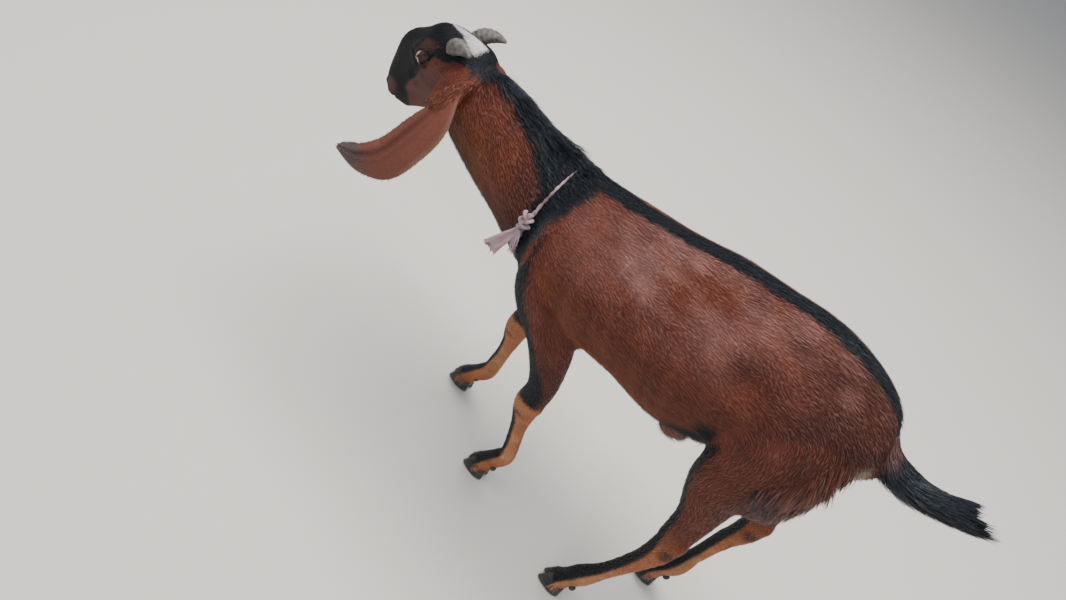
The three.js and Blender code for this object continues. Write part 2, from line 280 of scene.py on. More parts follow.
WITHERS, LOIN, CROUP = 628, 691, 722
CHEST_FLOOR, BELLY_FLOOR = 388, 402
HEAD_AT = np.array([-511.0, 0.0, 600.0])
HEAD_PITCH, HEAD_ROLL = 48, 8
EYE_AT, EYE_RADIUS = np.array([-62.0, 36.5, 39.0]), 12.5
FORE_TRACK, HIND_TRACK = 53, 86
HOOF_TOP, HOOF_HALF = 33, 18

BARREL = stations(
    (275, 0, 588, 18, 24, 28), (261, 0, 597, 48, 45, 62), (216, 0, 606, 75, CROUP - 622, 98, 0.3),
    (150, 0, 596, 95, CROUP - 596, 122, 0.22), (80, 0, 572, 102, 137, 140, 0.25, 0.2),
    (10, 0, 549, 112, LOIN - 549, 549 - BELLY_FLOOR, 0.22, 0.05),
    (-70, 0, 530, 114, 133, 126, 0.25, 0.08), (-150, 0, 512, 110, 130, 124, 0.2, 0.15),
    (-215, 0, 498, 98, WITHERS - 498, 498 - CHEST_FLOOR, 0.3, 0.2),
    (-262, 0, 492, 84, 130, 94, 0.35, 0.2), (-294, 0, 484, 62, 84, 70, 0.25, 0.2),
    (-310, 0, 474, 24, 30),
)
NECK = stations(
    (-190, 0, 515, 40, 50), (-230, 0, 514, 80, 108, 100, 0.35, 0.2),
    (-290, 0, 512, 76, 112, 98, 0.3, 0.25), (-350, 0, 520, 66, 103, 86, 0.25, 0.25),
    (-410, 0, 532, 60, 96, 82, 0.25, 0.25), (-460, 0, 543, 56, 91, 74, 0.2, 0.2),
    (-500, 0, 558, 50, 78, 68, 0.15, 0.2), (-530, 0, 575, 36, 50, 50),
)
SKULL = stations(
    (26, 0, 2, 12, 12), (16, 0, 2, 36, 28, 32), (-5, 0, 4, 46, 50, 48, 0.05),
    (-35, 0, 6, 50, 74, 58, 0.1, 0.25), (-68, 0, 6, 48, 76, 60, 0.2, 0.4),
    (-102, 0, 5, 38, 80, 54, 0.35, 0.35), (-132, 0, 5, 31, 74, 48, 0.35, 0.3),
    (-157, 0, 5, 28, 58, 42, 0.3, 0.2), (-178, 0, 5, 26, 40, 34, 0.15, 0.1),
    (-193, 0, 4, 21, 20, 21), (-200, 0, 3, 8, 8),
)
EAR_SWUNG = stations(
    (-502, -34, 604, 7, 16), (-500, -56, 592, 6, 20), (-484, -94, 549, 4, 30),
    (-493, -119, 500, 4, 34), (-510, -137, 456, 4, 33), (-540, -147, 430, 4, 26),
    (-564, -151, 421, 4, 20), (-588, -153, 417, 2, 6),
)
EAR_HANGING = stations(
    (-506, 32, 598, 7, 16), (-508, 50, 584, 6, 20), (-504, 68, 545, 4, 25),
    (-496, 76, 504, 4, 28), (-484, 80, 464, 4, 28), (-470, 80, 430, 4, 24),
    (-458, 78, 406, 4, 17), (-450, 76, 392, 2, 5),
)
EAR_BASES = {
    "ear_left": stations((-506, -24, 600, 12, 22), (-504, -38, 597, 14, 27), (-501, -54, 590, 12, 29),
                         (-496, -72, 573, 8, 27), (-493, -88, 556, 3, 24)),
    "ear_right": stations((-508, 22, 598, 12, 22), (-508, 36, 594, 14, 26), (-507, 50, 584, 12, 27),
                          (-504, 62, 564, 8, 26), (-501, 70, 544, 3, 24)),
}
TAIL = stations(
    (216, 0, 676, 14, 14), (240, 0, 662, 22, 24, 16), (272, 0, 632, 24, 25, 20),
    (310, 0, 624, 22, 22, 18), (344, 0, 632, 19, 20, 17), (372, 0, 647, 16, 21),
    (392, 0, 662, 9, 14), (404, 0, 672, 2, 4),
)


def foreleg(side, hoof, knee):
    """Rows of a foreleg from the shoulder to the hoof. over is its front. A leg that is stretched
    forward bends more at the knee and slopes more at the pastern."""
    track, stretch, slope = side * FORE_TRACK, knee + 112, (knee - hoof) / 4
    return stations(
        (-232, side * 52, 560, 20, 30), (-222, side * 62, 520, 32, 42, 52),
        (-192, side * 66, 450, 33, 60, 72), (-141 + 0.4 * stretch, side * 62, 380, 27, 46, 44),
        (knee + 2 - 0.1 * stretch, side * 56, 300, 21, 34, 25), (knee, track, 232, 20, 29, 25),
        (knee + 8 + 0.06 * stretch, track, 180, 15, 17, 20),
        (hoof + 26 + slope, track, 110, 15, 18, 19), (hoof + 21 + slope, track, 84, 18, 20, 21),
        (hoof + 7 + slope / 2, track, 54, 18, 19, 21),
        (hoof - 1, track, 32, 20, 22, 23), (hoof - 3, track, 12, 20.5, 27.5, 23),
    )


def hindleg(side, hoof, hock, stifle):
    """Rows of a hind leg from the hip to the hoof. over is its front."""
    track = side * HIND_TRACK
    return stations(
        (170, side * 40, 640, 24, 40, 50), (176, side * 54, 590, 38, 66, 80),
        (184, side * 62, 520, 39, 66, 80), ((stifle + 190) / 2 + 4, side * 68, 450, 35, 46, 56),
        ((stifle + hock) / 2 + 20, side * 76, 380, 23, 35, 29),
        (hock - 4, side * 80, 325, 16, 30, 26), (hock, side * 82, 284, 17, 28, 22),
        (hock - 8, side * 84, 230, 15, 22, 18), ((hock + hoof) / 2 + 6, side * 86, 150, 13, 19, 16),
        (hoof + 22, track, 90, 17, 25, 20), (hoof + 9, track, 56, 18, 21, 19),
        (hoof, track, 32, 20, 22, 21), (hoof - 1, track, 12, 20.5, 27.5, 22),
    )


# Each leg's side, and where its hoof and then its knee, or its hock and stifle, are along X.
FORE = {"foreleg_left": (-1, -113, -112), "foreleg_right": (1, -272, -238)}
HIND = {"hindleg_left": (-1, 131, 196, 140), "hindleg_right": (1, 236, 275, 190)}


def turned(axis, degrees):
    """Rotation matrix about X or Y."""
    c, s = math.cos(math.radians(degrees)), math.sin(math.radians(degrees))
    if axis == "X":
        return np.array([[1, 0, 0], [0, c, -s], [0, s, c]])
    return np.array([[c, 0, s], [0, 1, 0], [-s, 0, c]])


HEAD_TURN = turned("Y", -HEAD_PITCH) @ turned("X", HEAD_ROLL)


def from_head(points):
    """Points of the head's own frame, which faces -X, in the goat's frame."""
    return points @ HEAD_TURN.T + HEAD_AT


def in_head(points):
    """The other way round."""
    return (points - HEAD_AT) @ HEAD_TURN


# Each part's rows, which way its hair runs along them, and whether its frame is the head's.
PARTS = {
    "trunk": (BARREL, -1, False), "neck": (NECK, -1, False), "head": (SKULL, -1, True),
    **{name: (foreleg(*sizes), 1, False) for name, sizes in FORE.items()},
    **{name: (hindleg(*sizes), 1, False) for name, sizes in HIND.items()},
}
PART_NAMES = list(PARTS)


def place_on(points, rows):
    """Where points are on a loft: rows along, angle round, and the gap to its surface. The nearest
    of many section centres, in units of the section's mean size, gives the place along."""
    u = np.linspace(0, len(rows) - 1, (len(rows) - 1) * 8 + 1)
    centre, along, across, up, size = sections(rows, u)
    reach = size[:, :3].mean(1) + 6
    apart = (points**2).sum(1)[:, None] - 2 * points @ centre.T + (centre**2).sum(1)
    nearest = np.argmin(apart / reach + 0.5 * reach, axis=1)
    off = points - centre[nearest]
    out = (off * across[nearest]).sum(1)
    over = (off * up[nearest]).sum(1)
    beyond = np.abs((off * along[nearest]).sum(1))
    angle = np.arctan2(over / size[nearest, 1], out / size[nearest, 0])
    edge = np.hypot(*rim(size[nearest], angle))
    gap = np.hypot(out, over) - edge + np.maximum(beyond - 10, 0)
    return u[nearest], angle, gap


def locate(points):
    """For each point, the number of the part it is on, its place along and round that part, and
    how much nearer that part is than the next one, in mm."""
    found = [place_on(in_head(points) if on_head else points, rows)
             for rows, _, on_head in PARTS.values()]
    gaps = np.stack([gap for _, _, gap in found], -1)
    part = np.argmin(gaps, axis=1)
    row = np.arange(len(points))
    u = np.stack([u for u, _, _ in found], -1)[row, part]
    angle = np.stack([angle for _, angle, _ in found], -1)[row, part]
    ordered = np.sort(gaps, axis=1)
    return part, u, angle, ordered[:, 1] - ordered[:, 0]


# --- colours


def linear(hex_colour):
    """sRGB hex to linear red, green, blue."""
    value = np.array([int(hex_colour[k:k + 2], 16) for k in (0, 2, 4)]) / 255
    return np.where(value <= 0.04045, value / 12.92, ((value + 0.055) / 1.055) ** 2.4)


CHESTNUT, RUST, DARK_BAY = linear("6B3323"), linear("874826"), linear("44211A")
# The next row is painted light on the hair: a pale sheen, pale glints at tufts' tips, and a blue grey sky
# reflection on black hair.
PAINTED_SHEEN, PAINTED_GLINT, SKY_REFLECTION_BLUE = linear("A87D76"), linear("B59380"), linear("4A5765")
BLACK = linear("101218")
TAN, ORANGE_TAN = linear("C4865C"), linear("B06A42")
WHITE, BUFF, ROSE = linear("E6E1DC"), linear("A08D74"), linear("A0705C")
# The last colour in the next row is a painted highlight on lit edges round the eye, partly also the pale
# margin of the lids.
EAR_BROWN, EAR_TIP, PALE_EDGE_HIGHLIGHT = linear("834D3F"), linear("62504D"), linear("CFC0B2")
MUZZLE_BROWN, BROW, LID_DARK = linear("64433E"), linear("3E2A2A"), linear("1C1514")
# The lit edge over the eye, where a painted highlight lies as a pale line.
BROW_HIGHLIGHT_LINE = np.array([(-585, -52.5, 587), (-585, -53, 581), (-584, -52, 573), (-582, -49, 566)], float)


def blend(colour, other, weight):
    """Mixes a colour, or rows of it, towards another by a weight for each row."""
    return colour + (other - colour) * np.clip(weight, 0, 1)[:, None]


def painted(colour, *coats):
    """Blends in one (colour, weight) after another."""
    for other, weight in coats:
        colour = blend(colour, other, weight)
    return colour


def most(*weights):
    """The largest of several weights at each point."""
    return np.maximum.reduce(weights)


def near(points, centre, radii):
    """1 at a centre, falling smoothly to 0 at an egg of those radii round it."""
    return 1 - rise(0.35, 1.0, np.linalg.norm((points - centre) / radii, axis=1))


def trunk_colour(points, sine, wander):
    """Chestnut, with black along the spine, in front of the shoulder and under the belly, a painted
    sheen over its upper side, painted highlights on the hindquarters and painted shade in its hollows.
    """
    x, y, z = points[:, 0] + wander, np.abs(points[:, 1]), points[:, 2]
    mirrored = np.stack([x, y, z], -1)
    # Painted sheen: where the pale mauve highlight lies on the trunk's upward side, in patches, and how far
    # it reaches along the body.
    patches = 0.55 + 0.5 * ripple(points, 80, 31) + 0.25 * ripple(points, 30, 32)
    wear_and_sheen = np.interp(x, [-240, -190, -120, 0, 80, 140, 280], [0.3, 0.5, 1, 0.85, 0.5, 0.12, 0.12])
    spine = np.interp(x, [-240, -207, 126, 190, 240, 272], [26, 19, 18, 16, 12, 3])
    front = np.interp(z, [300, 384, 430, 445, 474, 514, 549, 575, 612, 625],
                      [-140, -158, -192, -221, -249, -252, -248, -243, -233, -225])
    under = np.interp(x, [-200, 40, 95, 130], [0.84, 0.82, 0.64, 0.78])
    black = most((1 - rise(spine - 4, spine + 4, y + 0.5 * wander)) * rise(0.2, 0.5, sine),
                 1 - rise(-7, 7, x - front), rise(under - 0.08, under + 0.08, -sine),
                 near(mirrored, (106, 88, 500), (24, 40, 34)))
    return painted(
        CHESTNUT,
        (RUST * 1.1, 0.7 * (1 - rise(430, 540, z)) * (1 - rise(60, 130, x))),
        # Painted sheen on the upward side of the trunk.
        (PAINTED_SHEEN, 0.52 * rise(0.0, 0.75, sine) * patches * wear_and_sheen),
        (DARK_BAY, 0.75 * rise(120, 180, x) * (1 - 0.3 * rise(640, 690, z))),
        # Painted shade: faint dark stripes in the creases over the ribs.
        (DARK_BAY, 0.25 * rise(0.2, 0.9, np.sin(x / 3.4 + z / 22)) * rise(500, 540, z)
         * (1 - rise(600, 640, z)) * rise(-140, -110, x) * (1 - rise(10, 40, x))),
        # Painted shade in the hollow before the hip.
        (DARK_BAY * 0.8, 0.5 * near(mirrored, (118, 54, 688), (40, 28, 26))),
        # Painted shade in the flank hollow.
        (DARK_BAY, 0.36 * near(mirrored, (96, 86, 632), (62, 50, 36))),
        # Painted highlights on the loin, hip and croup.
        *((PAINTED_SHEEN, 0.17 * near(mirrored, place, radii)) for place, radii in (
            ((152, 26, 708), (26, 20, 18)), ((84, 38, 698), (38, 24, 16)), ((186, 50, 683), (24, 20, 17)))),
        (BLACK, black),
        # Painted sky reflection: blue grey on the black hair before the shoulder.
        (SKY_REFLECTION_BLUE, 0.3 * near(mirrored, (-256, 84, 540), (12, 40, 60))),
        (BUFF, 0.9 * near(mirrored, (268, 40, 608), (16, 22, 24))),
        (ROSE, near(mirrored, (68, 0, 392), (34, 24, 26))))


def neck_colour(points, sine, wander):
    """Chestnut sides, a black mane that widens to the withers, and a dark throat."""
    x, y, z = folded(points).T
    mane = np.interp(x, [-530, -480, -446, -404, -359, -326, -299, -280],
                     [34, 22, 19, 28, 33, 44, 52, 60])
    black = most((1 - rise(mane - 5, mane + 5, y + wander)) * rise(-0.2, 0.2, sine),
                 rise(-7, 7, x + 290 + 0.19 * (z - 520) + wander), rise(0.55, 0.75, -sine + 0.012 * wander))
    return painted(CHESTNUT, (RUST * 0.85, 0.6 * rise(-0.5, -0.1, -sine) * (1 - rise(-380, -300, x))),
                   (DARK_BAY, 0.6 * rise(-380, -310, x)), (BLACK, black),
                   (WHITE * 0.8, 0.75 * near(folded(points), (-432, 0, 462), (46, 22, 34))))


def foreleg_colour(points, sine, wander, knee, strength):
    """Chestnut to above the knee, then tan, with black over the knee and down the shin."""
    z = points[:, 2] + wander
    tan = blend(TAN, ORANGE_TAN, rise(110, 60, z) + 0.5 * rise(150, 200, z))
    patch = np.interp(z, [250, 290, 329, 339, 384, 430], [-0.5, -0.5, -0.1, 0.25, 0.4, 0.3])
    shin = np.interp(z, [28, 48, 80, 113, 154, 202, 218], [0.1, 0.15, 0.3, 0.35, 0.05, 0.1, 0.4])
    shin = shin + (1 - strength) * 0.6
    black = most(rise(252, 260, z) * rise(patch - 0.15, patch + 0.15, sine),
                 (1 - rise(216, 224, z)) * rise(shin - 0.15, shin + 0.15, sine),
                 0.6 * near(points * [1, 0, 1], (knee - 8, 0, 221), (26, 99, 8)))
    return painted(CHESTNUT, (DARK_BAY, 0.6 * (1 - rise(330, 400, z))), (tan, 1 - rise(252, 262, z)),
                   (BLACK, black))


def hindleg_colour(points, sine, wander, hock):
    """Chestnut thigh, tan shank, and black down the front edge to the hoof."""
    z = points[:, 2] + wander
    edge = np.interp(z, [12, 60, 90, 144, 198, 285, 336, 468, 520, 545],
                     [0.0, 0.1, 0.2, 0.1, 0.2, 0.45, 0.6, 0.7, 0.85, 1.2])
    black = most(rise(edge - 0.15, edge + 0.15, sine),
                 0.7 * near(points * [1, 0, 1], (hock + 8, 0, 292), (20, 99, 20)))
    return painted(CHESTNUT, (DARK_BAY, 0.15 * rise(420, 520, z)),
                   (DARK_BAY, 0.5 * rise(-0.1, -0.7, sine) * rise(380, 480, z)),
                   (blend(ORANGE_TAN, TAN, rise(240, 120, z)), 1 - rise(270, 350, z)), (BLACK, black))


def head_colour(points, wander):
    """Chestnut cheeks and brows, a black face and crown, a painted highlight along the lit edge
    over the eye, and a white patch behind the poll.
    """
    head = folded(in_head(points))
    x, z = head[:, 0] + 0.5 * wander, head[:, 2] + 0.5 * wander
    edge = np.interp(
        x, [-200, -166, -144, -140, -126, -102, -82, -75, -70, -55, -44, -36, -26, -14, 5, 17, 24],
        [-60, -34, -10, 3, 10, 15, 26, 40, 56, 63, 62, 56, 44, 32, 21, 9, -4])
    band = np.abs(z - np.interp(x, [-64, -37, -14], [35, 41, 36]))
    band = band / np.interp(x, [-62, -50, -37, -14], [1, 2.5, 5, 11])
    black = most(rise(-3, 3, z - edge),
                 (1 - rise(0.7, 1.2, band)) * rise(-64, -58, x) * rise(15, 25, head[:, 1]),
                 0.6 * near(head, (-28, 34, 56), (16, 20, 12)), 0.8 * near(head, (-50, 42, 43), (12, 14, 9)))
    # Painted highlight: a pale line on the lit edge of the bulge over the eye.
    light = distance_to(head, eased(in_head(BROW_HIGHLIGHT_LINE) * [1, -1, 1], np.linspace(0, 3, 30)))
    ring = np.linalg.norm(head - EYE_AT, axis=1)
    ahead = (EYE_AT[0] + 4 - head[:, 0]) / np.maximum(ring, 1)
    wide = np.interp(points[:, 0], [-605, -580, -562, -545, -518, -508], [1.5, 3, 7, 13, 19, 8])
    white = (1 - rise(wide - 2, wide + 2, np.abs(points[:, 1] + 2) + 0.4 * wander))
    white *= rise(612, 620, points[:, 2]) * (1 - rise(-519, -514, points[:, 0] + 0.1 * points[:, 1]))
    return painted(
        CHESTNUT,
        (MUZZLE_BROWN, 0.75 * near(head, (-84, 42, -2), (110, 48, 64))),
        (BROW, 0.9 * near(head, (-54, 38, 58), (44, 28, 30))), (BLACK, black),
        (MUZZLE_BROWN, 0.8 * near(head, (-178, 26, 12), (24, 20, 20))),
        (BLACK, 0.7 * rise(9, 13, ring) * (1 - rise(15, 18, ring)) * rise(-0.2, 0.2, ahead)),
        (PALE_EDGE_HIGHLIGHT, 0.85 * (1 - rise(1.6, 3.2, light))), (WHITE, white))


def coat_colour(points, part, sine):
    """The colour of skin and hair at points, from the part each is on."""
    wander = 4 * ripple(points, 26, 3) + 2.5 * ripple(points, 9, 5)
    colour = np.zeros_like(points)
    for number, name in enumerate(PART_NAMES):
        on = part == number
        if not on.any():
            continue
        here = (points[on], sine[on], wander[on])
        if name in FORE:
            colour[on] = foreleg_colour(*here, FORE[name][2], 1.0 if name == "foreleg_left" else 0.6)
        elif name in HIND:
            colour[on] = hindleg_colour(*here, HIND[name][2])
        elif name == "head":
            colour[on] = head_colour(points[on], wander[on])
        else:
            colour[on] = (trunk_colour if name == "trunk" else neck_colour)(*here)
    return colour * (1 + 0.16 * ripple(points, 34, 8)[:, None] + 0.1 * ripple(points, 7, 9)[:, None])


def ear_colour(points, u, over):
    """Brown ear with a mauve tip, painted shade along a broad fold in its front third and along a
    thin second fold, and a pale back edge.
    """
    # Painted shade along the ear's folds: a broad soft band by the groove beside the rolled edge, and a thin
    # line.
    folds = ((DARK_BAY * 0.8, weight * np.exp(-((over - place) / width) ** 2)
              * rise(0.8, 1.6, u) * (1 - rise(5.2, 6, u)))
             for place, width, weight in ((0.42, 0.2, 0.5), (-0.05, 0.06, 0.35)))
    return painted(
        EAR_BROWN, (EAR_TIP, rise(4.2, 5.8, u + 0.32 * ripple(points, 26, 3))),
        (CHESTNUT, 0.18 * (1 - rise(0.8, 2.6, u))), *folds,
        (BUFF, 0.45 * rise(0.7, 1.0, -over) * rise(1, 2, u) * (1 - rise(3, 4.5, u))))


# --- skin

BODY_DEPTH, LEG_DEPTH, FACE_DEPTH = 4.0, 2.2, 2.0  # how far the skin lies under the outline
HEAD_BACK = -494  # x in front of which the skin's mesh is finer

# Swellings and hollows of the trunk, on both sides: centre, three radii, and height.
TRUNK_FORMS = {
    "shoulder": (-238, 84, 500, 34, 40, 70, 4.5), "upper arm": (-196, 88, 452, 42, 36, 42, 4.5),
    "elbow": (-158, 74, 404, 17, 20, 17, 4), "last ribs": (-10, 104, 556, 80, 40, 66, 3),
    "flank hollow": (94, 90, 622, 34, 40, 40, -11), "hip hollow": (122, 50, 692, 24, 20, 18, -5),
    "hip bone": (138, 70, 682, 19, 24, 16, 5),
    "rump": (196, 50, 690, 36, 26, 24, 3), "pin bone": (254, 40, 650, 17, 18, 17, 4),
    "thigh": (186, 92, 560, 44, 30, 64, 5), "stifle": (150, 82, 464, 24, 26, 32, 4),
    "flank fold": (112, 78, 486, 20, 26, 26, 5), "breast": (-286, 20, 436, 26, 26, 34, 4),
    "withers": (-226, 14, 612, 34, 16, 20, 3),
}
# Creases of the trunk and neck, on both sides: width, depth, and the line they follow.
TRUNK_CREASES = {
    "behind the shoulder": (13, 4.5, ((-176, 80, 606), (-166, 104, 530), (-150, 102, 462), (-146, 82, 410))),
    "before the shoulder": (13, 3.5, ((-246, 56, 572), (-268, 74, 520), (-258, 82, 462))),
    "side of the neck": (15, 3.5, ((-470, 44, 520), (-390, 58, 496), (-304, 68, 466))),
    "thigh cleft": (6, 3.0, ((254, 48, 630), (240, 78, 575), (226, 92, 515), (212, 92, 455), (206, 90, 405))),
    "flank": (9, 4.5, ((128, 96, 566), (116, 92, 520), (100, 84, 482))),
    "rib fold": (4, 1.6, ((-84, 58, 634), (-72, 80, 608), (-60, 98, 572))),
    "short rib fold": (4, 1.3, ((-58, 92, 590), (-46, 104, 556))),
}
# The same for the head, in its own frame.
HEAD_FORMS = {
    "cheek": (-38, 44, -20, 28, 18, 28, 3.5), "jaw corner": (-12, 38, -36, 18, 16, 18, 3),
    "under the eye": (-98, 34, 20, 20, 12, 12, -3), "cheek ridge": (-112, 31, 4, 26, 10, 7, 2.5),
    "nostril wing": (-190, 17, 21, 9, 8, 7, 2.2), "upper lip": (-182, 19, 3, 14, 12, 8, 2.2),
    "chin": (-174, 6, -26, 15, 16, 10, 2.5), "temple": (-28, 41, 26, 13, 12, 10, -3),
    "poll": (2, 0, 52, 22, 16, 14, 3), "bridge": (-110, 0, 78, 40, 12, 14, 2),
}
HEAD_CREASES = {
    "mouth": (2.0, 4.5, ((-199, 0, -7), (-192, 15, -8), (-174, 25, -11), (-158, 28, -15))),
    "parting of the lip": (1.8, 1.6, ((-200, 0, 14), (-201, 0, -3))),
    "over the eye": (2.4, 2.0, ((-86, 40, 50), (-70, 46, 60), (-48, 44, 60), (-38, 44, 50))),
    "before the ear": (2.4, 2.2, ((-30, 48, 16), (-10, 46, 20), (8, 38, 20))),
    "second fold": (2.0, 1.6, ((-26, 48, 27), (-8, 45, 30), (8, 36, 30))),
    "tear line": (2.4, 1.6, ((-84, 38, 34), (-98, 35, 28), (-112, 33, 22))),
}


def swell(points, normals, forms):
    """Moves points along their normals by each form's height times exp(-2 d^2), with d the
    distance from its centre in units of its radii."""
    mirrored, total = folded(points), np.zeros(len(points))
    for x, y, z, rx, ry, rz, height in forms.values():
        far = (((mirrored - (x, y, z)) / (rx, ry, rz)) ** 2).sum(1)
        total += height * np.exp(-2 * far)
    return points + normals * total[:, None]


def crease(points, normals, lines):
    """Sinks points under a line of straight pieces by its depth times exp(-(d / width)^2), with d
    the distance to its nearest piece."""
    mirrored, total = folded(points), np.zeros(len(points))
    for width, depth, line in lines.values():
        far = np.full(len(points), 1e9)
        for start, end in zip(np.array(line, float)[:-1], np.array(line, float)[1:]):
            step = end - start
            t = np.clip((mirrored - start) @ step / (step @ step), 0, 1)[:, None]
            far = np.minimum(far, np.linalg.norm(mirrored - start - t * step, axis=1))
        total += depth * np.exp(-((far / width) ** 2))
    return points - normals * total[:, None]


def leg_forms(name):
    """Joints and tendons of one leg: swellings and creases in the goat's frame, for y as |y|."""
    across = lambda line, y: tuple((x, 2 * y - side, z) for x, side, z in line)
    if name in FORE:
        _, hoof, knee = FORE[name]
        y, toe, deep, middle = FORE_TRACK, hoof - 22, 2.2, FORE_TRACK
        forms = {
            "knee": (knee - 16, y, 238, 14, 22, 20, 2.5), "knee back": (knee + 20, y + 2, 246, 10, 14, 12, 4),
            "fetlock": (hoof + 20, y, 84, 12, 22, 12, 1.5), "forearm": (knee - 10, 62, 340, 22, 20, 50, 2),
        }
        tendon = ((knee + 14, y + 14, 200), (hoof + 36, y + 14, 150), (hoof + 33, y + 14, 105))
        hollows = {}
    else:
        _, hoof, hock, _ = HIND[name]
        y, toe, deep, middle = HIND_TRACK, hoof - 20, 2.0, 84
        forms = {
            "hock point": (hock + 20, 82, 318, 10, 12, 12, 5), "hock": (hock - 8, 82, 284, 14, 20, 16, 2),
            "gaskin": (hock - 14, 78, 400, 22, 20, 34, 3), "fetlock": (hoof + 22, 86, 90, 12, 22, 12, 1.5),
        }
        tendon = ((hock + 2, 97, 240), (hock - 2, 98, 180), (hoof + 36, 99, 115))
        string = ((hock + 6, 94, 380), (hock + 6, 92, 345), (hock + 10, 92, 322))
        hollows = {"hollow": (6, 5.0, string), "inner hollow": (6, 5.0, across(string, 82))}
    cleft = ((toe + 8, y, 46), (toe, y, 30), (hoof - 28, y, 10))
    return forms, {"tendon": (3.5, deep, tendon), "inner tendon": (3.5, deep, across(tendon, middle)),
                   "cleft": (3.0, 3.0, cleft), **hollows}


def dock(u, angle):
    """How far the tail's own flesh lies under its outline: it thins out before the end."""
    return -3 - 18 * rise(4.6, 5.4, u) + 0 * angle


def flesh():
    """Closed surfaces that together fill the goat but for its ears, as deep as the coat is."""
    head = joined(loft(SKULL, 8, 40, -FACE_DEPTH),
                  *(egg((-66, side * 28, 48), (28, 17, 18)) for side in (-1, 1)))
    return joined(
        loft(BARREL, 6, 48, -BODY_DEPTH), loft(NECK, 6, 40, -BODY_DEPTH),
        egg((70, 0, 392), (23, 12, 18), -20), egg((92, 0, 434), (36, 15, 27), -20),
        egg((192, 0, 464), (22, 18, 40)), loft(TAIL, 6, 20, dock), (from_head(head[0]), head[1]),
        *(loft(rows, 8, 28) for rows in EAR_BASES.values()),
        *(loft(PARTS[name][0], 8, 24, -LEG_DEPTH) for name in (*FORE, *HIND)))


def refine(made, chosen):
    """Halves each edge whose two ends are chosen."""
    work = bmesh.new()
    work.from_mesh(made.data)
    ends = [edge for edge in work.edges if chosen[edge.verts[0].index] and chosen[edge.verts[1].index]]
    bmesh.ops.subdivide_edges(work, edges=ends, cuts=1, use_grid_fill=True)
    work.to_mesh(made.data)
    work.free()


def sculpt_trunk(points, normals):
    """Muscles, bones and creases of the trunk and neck, and faint ribs: sine waves along it."""
    points = crease(swell(points, normals, TRUNK_FORMS), normals, TRUNK_CREASES)
    x, y, z = points[:, 0], np.abs(points[:, 1]), points[:, 2]
    window = rise(-140, -90, x) * (1 - rise(20, 60, x)) * rise(440, 490, z) * (1 - rise(590, 640, z))
    wave = np.sin((x + 0.3 * (z - 540)) * TAU / 27) * window * rise(60, 85, y)
    return points + normals * (0.9 * wave)[:, None]


def sculpt_head(points, normals):
    """Cheeks, lips and folds in the head's frame, then the eyelids and the nostrils."""
    head = in_head(points)
    turned_normals = normals @ HEAD_TURN
    head = crease(swell(head, turned_normals, HEAD_FORMS), turned_normals, HEAD_CREASES)
    for side in (-1, 1):
        head = lids(head, side)
        pit = (head - (-197, side * 14.5, 16)) @ turned("Y", -35)
        deep = np.exp(-((pit / (4.2, 6.5, 2.6)) ** 2).sum(1) * 1.1)
        head = head + np.array([8.0, -side * 2.5, 0.0]) * deep[:, None]
    return from_head(head)


LOOKING = unit(np.array([-0.8, 1.0, -0.1]))  # the eye's outward axis, with side as +Y
LID = 2.2  # thickness of the lids over the eyeball


def eye_axes(side):
    """The eye's centre and its axes: outward, forward along the lids, and up."""
    centre = EYE_AT * [1, side, 1]
    outward = LOOKING * [1, side, 1]
    forward = np.array([-0.93, 0, -0.37])
    forward = unit(forward - outward * (forward @ outward))
    up = np.cross(outward, forward) * -side
    return centre, outward, forward, up * np.sign(up[2])


def lid_edge(turn):
    """Half opening of the lids, in radians, at an angle from forward towards up: an almond, pulled
    out to a corner in front."""
    corner = 0.16 * np.exp(-((np.angle(np.exp(1j * turn)) / 0.5) ** 2))
    tall = np.where(np.sin(turn) > 0, 0.55, 0.45)
    return 1 / np.sqrt((np.cos(turn) / 0.78) ** 2 + (np.sin(turn) / tall) ** 2) + corner


def round_eye(head, side):
    """Where points are round an eye: the way from its centre, the distance, how far they tilt from
    the way it looks, and how far its lids open there, both in radians."""
    centre, outward, forward, up = eye_axes(side)
    off = head - centre
    far = np.linalg.norm(off, axis=1)
    tilt = np.arccos(np.clip(off @ outward / np.maximum(far, 1e-6), -1, 1))
    return off, far, tilt, lid_edge(np.arctan2(off @ up, off @ forward))


def lids(head, side):
    """Draws the skin round the eye on to a ball a lid's thickness larger than the eye, and sinks
    what lies within the opening behind the eye."""
    off, far, tilt, edge = round_eye(head, side)
    close = (far < 30) & (tilt < 2.0)
    lid = EYE_RADIUS + LID
    wanted = np.where(tilt < edge, EYE_RADIUS - 3, lid)
    hold = np.where(tilt < edge, 1.0, 1 - rise(edge + 0.25, edge + 0.8, tilt))
    moved = far + (wanted - far) * hold * close
    moved = np.where((tilt >= edge) & (far < 30), np.maximum(moved, lid), moved)
    return head + unit(off) * (moved - far)[:, None]


def tube(path, radius, facing, sides=10, closed=False):
    """Tube of a radius, or radii, along a path. Its rings start from the side it faces."""
    ahead, behind = np.roll(path, -1, 0), np.roll(path, 1, 0)
    if not closed:
        ahead[-1], behind[0] = path[-1], path[0]
    along = unit(ahead - behind)
    facing = np.broadcast_to(facing, path.shape)
    across = unit(facing - along * (facing * along).sum(1, keepdims=True))
    up = np.cross(across, along)
    turn = np.linspace(0, TAU, sides, endpoint=False)[None, :, None]
    radius = np.broadcast_to(radius, len(path))
    ring = np.cos(turn) * across[:, None] + np.sin(turn) * up[:, None]
    grid = path[:, None] + radius[:, None, None] * ring
    if closed:
        return grid.reshape(-1, 3), ring_quads(len(path), sides).reshape(-1, 4)
    return closed_rings(grid, path[0] - along[0] * radius[0] * 0.6,
                        path[-1] + along[-1] * radius[-1] * 0.6)


